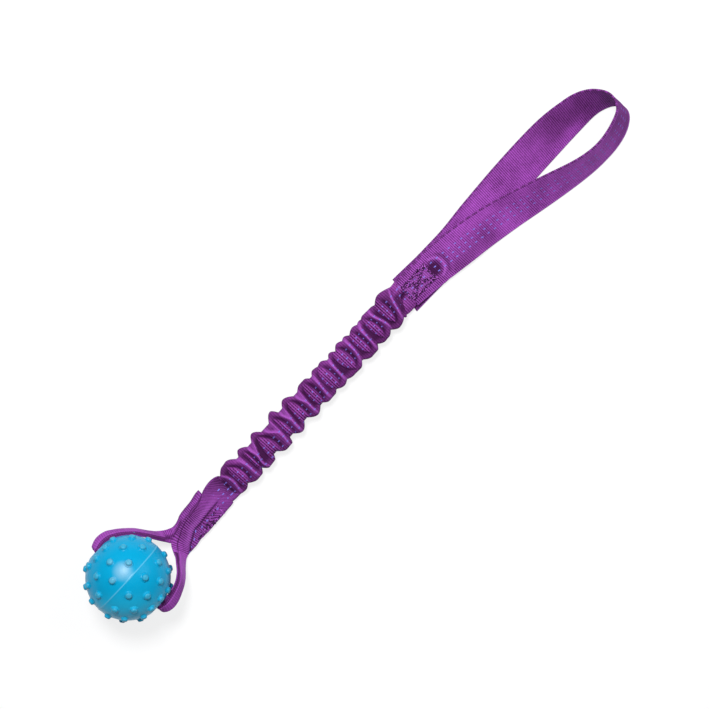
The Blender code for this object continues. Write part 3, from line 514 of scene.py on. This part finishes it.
def make_sleeve():
    """The gathered tube: arched sections v = (1 - |u|^2.5)^0.42 between the two outlines, with
    the gathers' height added at the top and, less, at the bottom, round an open bore."""
    x = np.linspace(84.8, 251.5, 610)[:, None]
    u, upper, left, right = tube_section(x, 100, 32)
    tall = 6.2 + 8 * ease(x, 83, 99) - 3 * ease(x, 244, 253)
    waist = 0.44 * tall
    y = np.where(u > 0, u * left, u * right)
    arch = (1 - np.abs(u) ** 2.5) ** 0.42
    place = x + ease(x, 243, 251.5) * (0.55 * np.clip(y, -10, 10) + 0.5)
    height, phase, crest, shade, patch = gathers(place, y)
    fade = (1 - u**4) ** 0.7 * (0.45 + 0.55 * ease(x, 86, 95))
    sink = 1 - 0.4 * ease(place, 250.5, 256.5)
    z = np.where(upper, waist + (tall - waist) * arch * sink + height * fade,
                 waist - waist * arch - 0.45 * height * fade)
    points = zipped(place, y, np.maximum(z, LOWEST))
    across = np.clip(y - dash_middle(place), -9.9, 9.9)
    dashes = np.where(upper, (phase + 20) * 4 * DASH_PITCH + DASH_PITCH / 2, 0)
    weave = zipped(across, place, dashes)
    # painted sheen on the crests; painted shade eased towards the sides, darker at the rim and laid
    # on the crests between y = -5 and 9
    rim = np.abs(u) ** 6
    shade = np.maximum(shade * (1 - 0.5 * ease(np.abs(u), 0.5, 0.9)),
                       0.34 * crest * ease(y, -5, 2) * fall(y, 5, 9))
    folds = zipped(crest * (1 - 0.5 * rim), np.clip(shade + 0.06 * rim * (1 - crest), 0, 1),
                   np.maximum(patch, 0.45) * (0.3 + 0.7 * upper))
    bore = zipped(place, y * 0.72, waist + np.where(upper, 1, -1) * 2 * arch)[::12][::-1]
    blank = np.zeros(bore.shape)
    return put_mesh("gathered_sleeve", np.r_[points, bore], loop=True,
                    weave=np.r_[weave, blank], folds=np.r_[folds, blank])


def make_neck():
    """The tube between the sewn seam and the sleeve's last ridge: arched sections
    v = (1 - |u|^3.5)^0.4 with a valley near the mid line and a foot along the ridge, both sunk and
    darkened with painted shade, a round swell at the right and a brow at the left, each a bump
    exp(-(distance / width)^2)."""
    x = np.linspace(243, 258.8, 96)[:, None]
    u, upper, left, right = tube_section(x, 90, 20)
    y = np.where(u > 0, u * (np.minimum(left, 11) - 0.2), u * (np.minimum(right, 10.3) - 0.2))
    tall = 6.4 - 1.8 * ease(x, 249, 257.5)
    arch = (1 - np.abs(u) ** 3.5) ** 0.4
    valley = bump(y - 0.3 - 0.14 * (x - 250), 1.5) * ease(x, 247, 249.5) * (
        1 - 0.6 * ease(x, 254, 258))
    foot = bump(x - 248.9 - 0.34 * y, 1.2) * fall(y, 3.5, 7) * (1 - 0.6 * ease(-y, 1.5, 6))
    swell = bump(np.hypot((x - 252.4) / 1.15, y + 6), 3.6)
    brow = bump(y - 6.5, 3.4) * ease(x, 249, 252)
    relief = (1.1 * swell + 0.5 * brow - 2.2 * valley - 1.1 * foot * (1 - 0.6 * swell)) * (
        1 - u**4)
    z = np.where(upper, 0.42 * tall + 0.58 * tall * arch + relief, 0.42 * tall * (1 - arch) + 0.1)
    weave = zipped(y - dash_middle(x), x, np.where(upper, (x - 246) * 1.55 + 0.9, 0))
    # painted shade in the valley, at the foot and near the seam; painted light on the swell and on
    # the upper side
    dark = np.clip(1.1 * valley + 0.7 * foot * (1 - swell) + 0.15 * bump(x - 255, 2) * (y < 5),
                   0, 1)
    light = np.maximum(0.25 * swell, 0.9 * ease(y, 3, 7.5) * ease(x, 248.5, 251))
    folds = zipped(light, dark, (0.5 + 0.9 * brow + 0.6 * swell) * upper)
    return put_mesh("sleeve_neck", zipped(x, y, np.maximum(z, 0.05)), weave=weave, folds=folds)


def make_core():
    """The flat elastic: a rounded box |cos|^0.4, |sin|^0.4 that thins towards both ends and
    keeps within 0.85 of the sleeve's narrower side."""
    x = np.linspace(90, 249, 90)[:, None]
    turn = (np.arange(32) / 32 * math.tau)[None]
    cos, sin = np.cos(turn), np.sin(turn)
    full = window(x, 92, 102, 236, 248)
    room = 0.85 * np.minimum(outline(LEFT_OUTLINE, x), outline(RIGHT_OUTLINE, x))
    y = np.sign(cos) * np.abs(cos) ** 0.4 * np.minimum(6.9 + 0.5 * full, room)
    z = 3 + 3.4 * full + np.sign(sin) * np.abs(sin) ** 0.4 * (0.55 + 0.9 * full)
    return put_mesh("elastic_core", zipped(x, y, z), weave=zipped(y, x, 0))


# Strap through the ball

def make_strap_tape():
    """The tape from the sleeve's flat end round through the bore to its cut end: a flat oval
    section with steps down at the pleat's edge and at the selvedge, carried along the route."""
    route = smooth_curve(STRAP_ROUTE, 660)
    centres = route[:, :3]
    roll, width, thickness, pleat, selvedge, opening = route[:, 3:].T[..., None]
    roll = np.radians(roll)
    across = np.hstack([0 * roll, np.sin(roll), np.cos(roll)])
    along = unit(np.gradient(centres, axis=0))
    across = unit(across - along * np.sum(across * along, axis=1, keepdims=True))
    normal = np.cross(across, along)
    share = drawn_together(60, 0.4)[None]
    place = share * width / 2
    rounding = np.minimum(thickness * 0.5, 1.3)
    inset = np.clip((np.abs(place) - (width / 2 - rounding)) / rounding, 0, 1)
    rise = np.sqrt(1 - inset**2)
    low_step = fall(place, pleat - 0.25, pleat + 0.35) * opening * 1.35
    selvedge_step = ease(place, selvedge - 0.3, selvedge + 0.15) * 0.85
    crown = 0.3 * (1 - share**2)
    top = thickness / 2 * rise + (crown - low_step - selvedge_step) * rise
    top = np.maximum(top, -thickness / 2 * 0.6 * rise)
    distance = travelled(centres)[:, None]
    x, y, z = centres[:, :1], centres[:, 1:2] + place * np.sin(roll), centres[:, 2:3]
    low = z < 5
    flat = low & (distance < 60)
    slanted, left_part = x + 0.31 * (y + 1), ease(y, -7.5, -3.5) * flat
    swale = bump(slanted - 84.8, 4.2) * left_part
    pull = 0.07 * np.sin(y * 1.1 + x * 0.35) * ease(x, 44, 60) * flat
    waves = 0.06 * np.sin(distance / 3.1 + share * 2) * np.sin(share * 3 + 0.6)
    top = top + (waves + pull - swale) * rise

    def closed(upper, under):
        return np.concatenate([upper, under[:, ::-1][:, 1:-1]], axis=1)
    rings = (centres[:, None] + across[:, None] * closed(place, place)[..., None]
             + normal[:, None] * closed(top, -thickness / 2 * rise)[..., None])
    rings[..., 2] = np.maximum(rings[..., 2], LOWEST)

    # Weave marks: dashes only on the strip at the pleat's low side and by the sleeve
    strip = flat & ((place < pleat) | (x > 74.5))
    middle = np.interp(x, (34, 44, 54, 66, 74, 88), (-11.3, -7.2, -1.2, -1, -0.8, -1.4))
    mark = np.where(strip, y - middle, np.where(
        np.abs(place - selvedge) < 1, 12.6 - np.abs(place - selvedge - 0.3), place * 0.9))
    cut_layer = distance > distance[-1] - 32
    mark = np.where(cut_layer, -place / width * TAPE_WIDTH, mark)
    skew = 0.75 * window(x, 54, 66, 81, 86) * flat
    blank = np.zeros(place.shape)
    weave = zipped(closed(mark, place * 0.85), distance - skew * closed(y, y),
                   closed(np.where(strip, distance + 3, 0), blank))

    # Painted light and shade: shade in the pleat's crease, on the legs' inner side, at edges, the
    # leaf's brink, along the back leg's foot and in the swale, and a level for how the light falls;
    # light beside the pleat and on the front leg
    crease = bump(place - pleat + 0.45, 0.62) * np.minimum(opening * 1.3, 1)
    inner = ease(place, selvedge + 0.1, selvedge + 1.2) * (z > 6)
    edge = 0.85 * bump(place - selvedge - 0.1, 0.5) * fall(selvedge, 10, 14)
    brink = low * window(x, 36, 40, 69, 71) * np.where(
        cut_layer, 0.66 * ease(-share, 0.8, 0.93), 0.6 * ease(share, 0.84, 0.97))
    level = (0.34 * ease(x, 30, 40) + 0.18 * ease(x, 66, 71)
             - 0.12 * blot((x - 76) / 4, (y - 2) / 4))
    level = np.maximum(level, np.where(centres[:, 1:2] > 12, 0.13, 0)) - 0.22 * cut_layer
    shadow = bump(slanted - 81.5, 5.5) * left_part
    level = level + (0.84 - level) * np.maximum(swale, 0.5 * shadow)
    level = level + 0.22 * ease(z, 18, 26) * (y < 0)
    foot = np.interp(x, (26, 28, 30, 32, 36, 40, 46, 50), (12.5, 10.2, 8.3, 6.5, 4.4, 5, 7, 8.6))
    under_leg = 0.75 * bump(y - foot, 1.5) * window(x, 25, 28, 46, 51) * (
        low | (distance > 100))
    dark = np.clip(np.maximum.reduce([crease, 0.84 * inner, edge, brink, under_leg, level]), 0, 1)
    light = np.maximum(0.25 * bump(place - pleat - 2.2, 1.8) * opening,
                       0.35 * window(z, 3, 8, 16, 24) * (centres[:, 1:2] < 8) * (1 - inner))
    ribs = np.where(low, 1.25 - 0.35 * ease(x, 66, 72) - 0.3 * cut_layer, 0.55) + blank
    folds = zipped(closed(light, blank), closed(dark, blank), closed(ribs, blank + 0.5))
    return put_mesh("strap_tape", rings, weave=weave, folds=folds)


# Ball

def tilt_ball(points):
    """Turns the ball by its small tilt about X and puts it at its centre."""
    cos, sin = math.cos(BALL_TILT), math.sin(BALL_TILT)
    x, y, z = np.moveaxis(points, -1, 0)
    return zipped(x, y * cos - z * sin, y * sin + z * cos) + BALL_CENTRE


def make_ball():
    """A bored sphere with rounded mouths and a parting bead, turned about Y: radius
    sqrt(R^2 - y^2) plus the bead 0.28 exp(-(y / 0.42)^2), and a round mouth at the bore."""
    mouth = BORE_RADIUS + MOUTH_RADIUS
    reach = math.sqrt((BALL_RADIUS - MOUTH_RADIUS) ** 2 - mouth**2)
    lean = math.pi / 2 - math.atan2(mouth, reach)
    rounding = np.linspace(math.pi, lean, 9)
    arc = np.linspace(lean, 0, 74)[1:]
    arc = arc - 0.006 * np.sin(4 * arc)
    radius = np.r_[mouth + MOUTH_RADIUS * np.cos(rounding), BALL_RADIUS * np.cos(arc)]
    place = np.r_[reach + MOUTH_RADIUS * np.sin(rounding), BALL_RADIUS * np.sin(arc)]
    radius += 0.28 * bump(place, 0.42) + 0.05 * bump(place - 1.1, 0.5)
    radius = np.r_[radius, radius[-2::-1]][:, None]
    place = np.r_[place, -place[-2::-1]][:, None]
    turn = np.linspace(0, math.tau, 192, endpoint=False)[None]
    rings = zipped(radius * np.sin(turn), place, radius * np.cos(turn))
    return put_mesh("ball_rubber", tilt_ball(rings), loop=True)


def make_nubs():
    """Nubs on the ball: each a drum with a domed top and a flared foot that runs into the
    ball, rings r and h turned about the way it points."""
    latitude, turn = np.array([
        (math.radians(degrees * sign), math.tau * (nub + shift) / count)
        for degrees, count, shift in NUB_ROWS for sign in (1, -1) for nub in range(count)]).T
    flat = np.cos(latitude)
    way = zipped(flat * np.sin(turn), np.sin(latitude), flat * np.cos(turn))
    one = unit(np.cross(way, (0, 1, 0)))
    two = np.cross(way, one)
    radius = np.array([1.5, 1.3, 1.12, 1.02, 0.98, 0.92, 0.8, 0.62, 0.4, 0.14]) * NUB_RADIUS
    lift = np.array([-0.14, -0.01, 0.06, 0.18, 0.38, 0.62, 0.82, 0.94, 0.99, 1]) * NUB_HEIGHT
    centres = way[:, None] * (BALL_RADIUS + lift)[:, None]
    return put_mesh("ball_nubs", tilt_ball(
        circles(centres, one[:, None], two[:, None], radius[:, None, None], 18)))


# Stitches

def make_threads(name, lines, passes, seed, height, spread):
    """Threads of a box stitch: short arches from point to point along each line, each a six
    sided tube round p + arch * 4t(1 - t), with a little scatter from pass to pass."""
    chance = np.random.default_rng(seed)
    starts, ends = [], []
    for first, last in np.array(lines):
        count = int(np.linalg.norm(last - first) / STITCH_LENGTH)
        for _ in range(passes):
            stops = np.linspace(0, 1, count + 1) + chance.normal(0, 0.1 / count, count + 1)
            points = first + (last - first) * stops[:, None]
            points += chance.normal(0, spread, points.shape)
            starts.append(points[:-1])
            ends.append(points[1:])
    starts, ends = np.vstack(starts), np.vstack(ends)
    t = np.linspace(0, 1, 7)[None, :, None]
    arch = 4 * t * (1 - t)
    way = ends - starts
    side = unit(zipped(-way[:, 1], way[:, 0]))
    flat = starts[:, None] + way[:, None] * t
    flat = flat + side[:, None] * (chance.normal(0, 0.25, (len(starts), 1, 1)) * arch)
    level = height(flat[..., 0], flat[..., 1]) - 0.3 + 0.62 * arch[..., 0] ** 0.5
    level = level + chance.uniform(0, 0.18, (len(starts), 1))
    path = np.concatenate([flat, level[..., None]], axis=2)
    along = unit(np.gradient(path, axis=1))
    beside = unit(np.cross(along, (0, 0, 1)))
    up = np.cross(beside, along)
    return put_mesh(name, circles(path, beside, up, THREAD_RADIUS, 6))


def make_handle_stitches():
    """The box with a cross at the base of the hand loop, on the front layer's relief."""
    corners = [(278.4, 4.7), (278.1, -7), (257.4, -5.6), (257.6, 4.7)]
    lines = [*zip(corners, corners[1:] + corners[:1]), corners[::2], corners[1::2]]
    return make_threads("handle_stitches", lines, 3, 5,
                        lambda x, y: 4.95 + seam_relief(x, y)[0], 0.68)


def make_strap_stitches():
    """The stitch beside the ball, as far as the folded strap leaves it in sight."""
    lines = [((47, -9.6), (70.5, -9.4)), ((70.5, -9.4), (71.4, -3.2)),
             ((48.5, -9), (60, -6)), ((60, -6), (71, -3.6)),
             ((52.5, -7.6), (66, -9.2)), ((47, -9.6), (49.5, -7.8))]
    return make_threads("strap_stitches", lines, 2, 8, lambda x, y: 3.25 + 0 * x, 0.55)


# Materials

def math_node(operation):
    """An operator of Value that adds one Math node."""
    return lambda value, *others: value.wires.math(operation, value, *others)


class Value:
    """What a node gives, as a term in sums."""
    __add__ = math_node("ADD")
    __sub__ = math_node("SUBTRACT")
    __mul__ = math_node("MULTIPLY")
    __truediv__ = math_node("DIVIDE")
    __mod__ = math_node("FLOORED_MODULO")
    __abs__ = math_node("ABSOLUTE")
    largest = math_node("MAXIMUM")

    def __init__(self, wires, socket):
        self.wires, self.socket = wires, socket

    def __rsub__(self, other):
        return self.wires.math("SUBTRACT", other, self)

    def within_one(self):
        """Kept from 0 to 1 by the node that gives it."""
        self.socket.node.use_clamp = True
        return self

    def step(self, low, high):
        """0 below low, 1 above high, and 3t^2 - 2t^3 between."""
        return self.wires.node("ShaderNodeMapRange", {"Value": self, "From Min": low,
                                                      "From Max": high},
                               interpolation_type="SMOOTHSTEP")[0]

    def wave(self, pitch):
        """0.5 + 0.5 cos(2 pi value / pitch)."""
        return self.wires.math("COSINE", self * (math.tau / pitch)) * 0.5 + 0.5


class Wiring:
    """Short calls that add nodes to one node tree and join them."""

    def __init__(self, tree):
        self.tree = tree

    def node(self, kind, inputs=None, **settings):
        """A new node's outputs, once its settings and its inputs are made."""
        node = self.tree.nodes.new(kind)
        for key, value in settings.items():
            setattr(node, key, value)
        for key, value in (inputs or {}).items():
            self.join(value, node.inputs[key])
        return [Value(self, socket) for socket in node.outputs]

    def join(self, value, socket):
        """Links a value to a socket, or sets the socket to a constant."""
        if isinstance(value, Value):
            self.tree.links.new(value.socket, socket)
        else:
            socket.default_value = value

    def math(self, operation, *values):
        return self.node("ShaderNodeMath", dict(enumerate(values)), operation=operation)[0]

    def vector(self, operation, *values):
        """A single number from vectors: their dot product or a length."""
        return self.node("ShaderNodeVectorMath", dict(enumerate(values)), operation=operation)[1]

    def mix(self, share, first, second):
        """The first colour turning into the second."""
        return self.node("ShaderNodeMix", {0: share, 6: first, 7: second}, data_type="RGBA")[2]

    def place(self):
        """The object's own coordinates, in metres."""
        return self.node("ShaderNodeTexCoord")[3]

    def noise(self, place, scale, detail, roughness=0.5):
        return self.node("ShaderNodeTexNoise", {"Vector": place, "Scale": scale, "Detail": detail,
                                                "Roughness": roughness})[0]

    def mark(self, name):
        """A mark that the mesh has at its points."""
        return self.node("ShaderNodeAttribute", attribute_name=name)[1]

    def parts(self, vector):
        return self.node("ShaderNodeSeparateXYZ", {0: vector})

    def dress(self, shader, colour, height, strength, distance):
        """Gives a shader its colour, and bends its normal by a height."""
        self.join(colour, shader["Base Color"])
        self.join(self.node("ShaderNodeBump", {"Height": height, "Strength": strength,
                                               "Distance": distance})[0], shader["Normal"])


def woven_group():
    """The tape's weave: ribs across, beads along the selvedge, rows of short dashes and a fine
    mottle, from the tape's marks, with the folds' painted sheen and painted shade."""
    group = bpy.data.node_groups.new("woven_tape", "ShaderNodeTree")
    for way, sockets in (
            ("INPUT", {"Weave": "Vector", "Folds": "Vector", "Rib Pitch": "Float", "Rib Shade":
                       "Float", "Mesh": "Float", "Cloth": "Color", "Crest": "Color"}),
            ("OUTPUT", {"Color": "Color", "Roughness": "Float", "Height": "Float"})):
        for label, kind in sockets.items():
            group.interface.new_socket(label, in_out=way, socket_type="NodeSocket" + kind)
    wires = Wiring(group)
    weave, folds, rib_pitch, rib_shade, mesh_share, plain, bright, _ = wires.node("NodeGroupInput")
    across, along, dash_place = wires.parts(weave)
    crest, groove, ribbed = wires.parts(folds)
    place = wires.place()
    mottle = wires.noise(place, 500, 3, 0.7)
    cloud = wires.noise(place, 60, 3)
    rib = (along / rib_pitch + mottle * 0.25).wave(1)
    yarn = across.wave(0.62)
    away = abs(across)

    # Edges: the piped selvedge, lit by a painted sheen, the gutter beside it in painted shade and
    # beads on the upper rim
    rim = across.step(11.95, 12.35)
    selvedge = away.step(11, 11.4)
    piping = (selvedge - rim) * (1.1 - ribbed).within_one()
    gutter = (away.step(10.3, 10.7) - selvedge) * (1.3 - ribbed).within_one()
    beads = ((gutter * 0.6 + rim) * (rib * -0.45 + 1.15)
             * (along.wave(DASH_PITCH).step(0, 0.35) * 0.38 + 0.44))

    # Dashes: three rows about the tape's mid line
    row = abs((across + DASH_SPACING / 2) % DASH_SPACING - DASH_SPACING / 2)
    spot = abs(dash_place % DASH_PITCH - DASH_PITCH / 2)
    dash = (1 - row.step(0.24, 0.55)) * (1 - spot.step(0.6, 1)) * (1 - away.step(5.6, 5.9))

    mesh = across.wave(1.6) * mesh_share
    # painted shade between the ribs and in grooves, over the cloth's own random mottle and cloud
    between = (1 - rib) * ribbed
    shade_and_mottle = (between * rib_shade * (1 - mesh) + (mottle - 0.5) * 0.55 + (cloud - 0.5) * 0.9
            + yarn * 0.05)
    shade_and_mottle = (1 - shade_and_mottle.largest(0)) * (groove * 0.97) + shade_and_mottle
    shade_and_mottle = (shade_and_mottle * (1 - piping * 0.8)).largest(beads).within_one()
    colour = wires.mix(shade_and_mottle, plain, (0.04, 0.006, 0.044, 1))
    # painted sheen on the crests and the piping
    colour = wires.mix(crest.largest(piping * (rib * 0.35 + 0.1)), colour, bright)
    colour = wires.mix(dash * (groove * 0.22 + 0.8), colour, (0.175, 0.155, 0.6, 1))
    height = (yarn * 0.22 + rib) * ribbed * (1 - crest * 0.75)
    height = height + (rib * 0.4 + 0.8) * piping + dash * 0.6
    wires.node("NodeGroupOutput", {"Color": colour, "Height": height,
                                   "Roughness": between * 0.12 + 0.52 + groove * 0.3})
    return group


def shader_material(name, roughness, specular):
    """A material with its shader's constants set, its wiring and its shader's inputs."""
    material = bpy.data.materials.new(name)
    material.use_nodes = True
    shader = material.node_tree.nodes["Principled BSDF"].inputs
    shader["Roughness"].default_value = roughness
    shader["Specular IOR Level"].default_value = specular
    return material, Wiring(material.node_tree), shader


def tape_material(name, group, looks):
    """Woven purple tape."""
    material, wires, shader = shader_material(name, 0.45, 0.06)
    colour, roughness, height = wires.node(
        "ShaderNodeGroup", {"Weave": wires.mark("weave"), "Folds": wires.mark("folds"), **looks},
        node_tree=group)
    wires.join(roughness, shader["Roughness"])
    wires.dress(shader, colour, height, 0.5, 0.00014)
    return material


def thread_material():
    """Twisted purple thread: dark and pale strands mixed by a fine noise, the pale ones a
    painted sheen.
    """
    material, wires, shader = shader_material("stitch_thread", 0.5, 0.08)
    strands = wires.noise(wires.place(), 900, 2)
    colour = wires.mix(strands.step(0.46, 0.58), (0.045, 0.01, 0.055, 1), (0.37, 0.09, 0.46, 1))
    wires.dress(shader, colour, strands, 0.5, 0.0001)
    return material


def elastic_material():
    """White braided elastic: lengthwise cords with a fine cross weave."""
    material, wires, shader = shader_material("braided_elastic", 0.85, 0.5)
    across, along, _ = wires.parts(wires.mark("weave"))
    braid = (along.wave(0.9) * 0.35 + 0.65) * across.wave(1.1)
    colour = wires.mix(braid, (0.55, 0.53, 0.5, 1), (0.84, 0.83, 0.8, 1))
    wires.dress(shader, colour, braid, 0.7, 0.0003)
    return material


def rubber_material():
    """Satin turquoise rubber: a slightly dusty bloom, fine pores and a paler parting line, under a
    painted lit flank, a painted highlight and a painted shade.
    """
    material, wires, shader = shader_material("satin_rubber", 0.34, 0.13)
    place = wires.place()
    centre = (BALL_CENTRE + TOY_PLACE) / 1000
    local = wires.node("ShaderNodeMapping", {"Vector": place, "Location": tuple(-centre)})[0]
    far = wires.vector("LENGTH", local)

    def towards(*way):
        return wires.vector("DOT_PRODUCT", local, way)
    side = abs(towards(0, math.cos(BALL_TILT), math.sin(BALL_TILT)))
    speckle = wires.noise(place, 1500, 2, 0.6)
    bloom = speckle.step(0.45, 0.75) * wires.noise(place, 60, 4, 0.6).step(0.35, 0.75)
    tint = wires.mix(bloom, (0, 0.29, 0.515, 1), (0.006, 0.32, 0.53, 1))
    # In turn: the painted lit flank, the painted highlight, the nubs' tips, the parting line, the
    # painted shade by the strap's front leg
    for share, colour in (
            (towards(-0.7, -0.7, 0.1).step(0.006, 0.022)
             * (far.step(0.0277, 0.0281) * -0.68 + 0.68), (0.02, 0.46, 0.72, 1)),
            (towards(0.16, 0.19, 0.969).step(0.0264, 0.0277) * 0.33, (0.45, 0.62, 0.72, 1)),
            (far.step(0.028, 0.0292) * 0.72, (0.05, 0.325, 0.475, 1)),
            ((1 - side.step(0.00022, 0.00055)) * 0.55, (0.12, 0.46, 0.66, 1)),
            (towards(0.62, -0.67, -0.4).step(0.019, 0.025) * 0.75, (0, 0.04, 0.12, 1))):
        tint = wires.mix(share, tint, colour)
    wires.join(bloom * 0.12 + 0.29, shader["Roughness"])
    wires.dress(shader, tint, speckle, 0.12, 0.0001)
    return material


# Stage

def make_floor():
    """A big matt floor that the camera sees as nearly white."""
    bpy.ops.mesh.primitive_plane_add(size=6, location=(0, 0, -0.0002))
    floor = bpy.context.object
    floor.name = "floor"
    material = bpy.data.materials.new("floor_white")
    material.use_nodes = True
    material.node_tree.nodes.clear()
    wires = Wiring(material.node_tree)
    camera, _, _, glossy, _, _, through, *_ = wires.node("ShaderNodeLightPath")
    seen = camera.largest(glossy.largest(through))
    matt = wires.node("ShaderNodeBsdfDiffuse", {"Color": wires.mix(
        seen, (0.55, 0.55, 0.56, 1), (0.86, 0.86, 0.87, 1))})[0]
    glow = wires.node("ShaderNodeEmission", {"Color": (1, 1, 1, 1), "Strength": 1})[0]
    both = wires.node("ShaderNodeMixShader", {0: seen * 0.8, 1: matt, 2: glow})[0]
    wires.node("ShaderNodeOutputMaterial", {"Surface": both})
    floor.data.materials.append(material)


def make_stage():
    """The floor, a pale sky, a soft lamp with a weaker one across from it, and a camera
    straight above."""
    make_floor()
    scene = bpy.context.scene
    scene.world = bpy.data.worlds.new("studio")
    scene.world.use_nodes = True
    sky = scene.world.node_tree.nodes["Background"].inputs
    sky["Color"].default_value = (0.95, 0.97, 1, 1)
    sky["Strength"].default_value = 0.22

    right = np.array([math.cos(VIEW_TURN), math.sin(VIEW_TURN), 0])
    up = np.array([-right[1], right[0], 0])
    for name, to_right, to_up, level, size, power in (
            ("key", -0.26, 0.53, 1.42, 0.5, 27), ("fill", 0.9, 0.5, 0.9, 1, 6)):
        light = bpy.data.lights.new(name, "AREA")
        light.shape = "DISK"
        light.size = size
        light.energy = power
        lamp = add_object(name, light)
        x, y, _ = VIEW_MIDDLE + right * to_right + up * to_up
        lamp.location = (x, y, level)
        lamp.rotation_euler = (math.atan2(math.hypot(x, y), level), 0,
                               math.atan2(-y, -x) - math.pi / 2)

    camera = add_object("camera", bpy.data.cameras.new("camera"))
    camera.location = (*VIEW_MIDDLE[:2], VIEW_HEIGHT)
    camera.rotation_euler = (0, 0, VIEW_TURN)
    camera.data.lens = camera.data.sensor_width * VIEW_HEIGHT / VIEW_WIDTH
    scene.camera = camera
    scene.view_settings.view_transform = "Standard"


# Putting it together


def main():
    make_stage()
    group = woven_group()
    # Crest is the colour of the painted sheen. The gathered tape has its own ribs, and its cloth
    # and crest are darker as painted shade of the gathers
    tape = tape_material("satin_tape", group, {
        "Rib Pitch": RIB_PITCH, "Rib Shade": 0.7, "Mesh": 0,
        "Cloth": (0.37, 0.074, 0.47, 1), "Crest": (0.45, 0.12, 0.57, 1)})
    gathered = tape_material("gathered_tape", group, {
        "Rib Pitch": PATCH_RIB_PITCH, "Rib Shade": 1.35, "Mesh": 0.4,
        "Cloth": (0.27, 0.048, 0.315, 1), "Crest": (0.31, 0.072, 0.39, 1)})
    hand, neck, sleeve, core = make_hand_tape(), make_neck(), make_sleeve(), make_core()
    strap, ball, nubs = make_strap_tape(), make_ball(), make_nubs()
    handle_threads, strap_threads = make_handle_stitches(), make_strap_stitches()
    for material, slot, *pieces in (
            (tape, "purple_tape", hand, strap), (gathered, "purple_tape", neck, sleeve),
            (elastic_material(), "white_elastic", core),
            (rubber_material(), "turquoise_rubber", ball, nubs),
            (thread_material(), "purple_thread", handle_threads, strap_threads)):
        for piece in pieces:
            piece.data.materials.append(material)
    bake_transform(hand)
    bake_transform(neck)
    for piece in (sleeve, core):
        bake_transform(piece)
    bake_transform(strap)
    for piece, body in ((ball, "ball"), (nubs, "ball"), (handle_threads, "handle_seam"),
                        (strap_threads, "ball_seam")):
        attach(piece, body)
    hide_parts("handle_loop", "handle_back_layer", "handle_front_layer")
    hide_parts("bungee_sleeve")
    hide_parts("bungee_core")
    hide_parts("strap_loop", "strap_front_layer", "strap_back_layer")
    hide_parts("ball")
    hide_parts("handle_box_stitch")
    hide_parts("strap_box_stitch")


main()
bpy.context.view_layer.update()
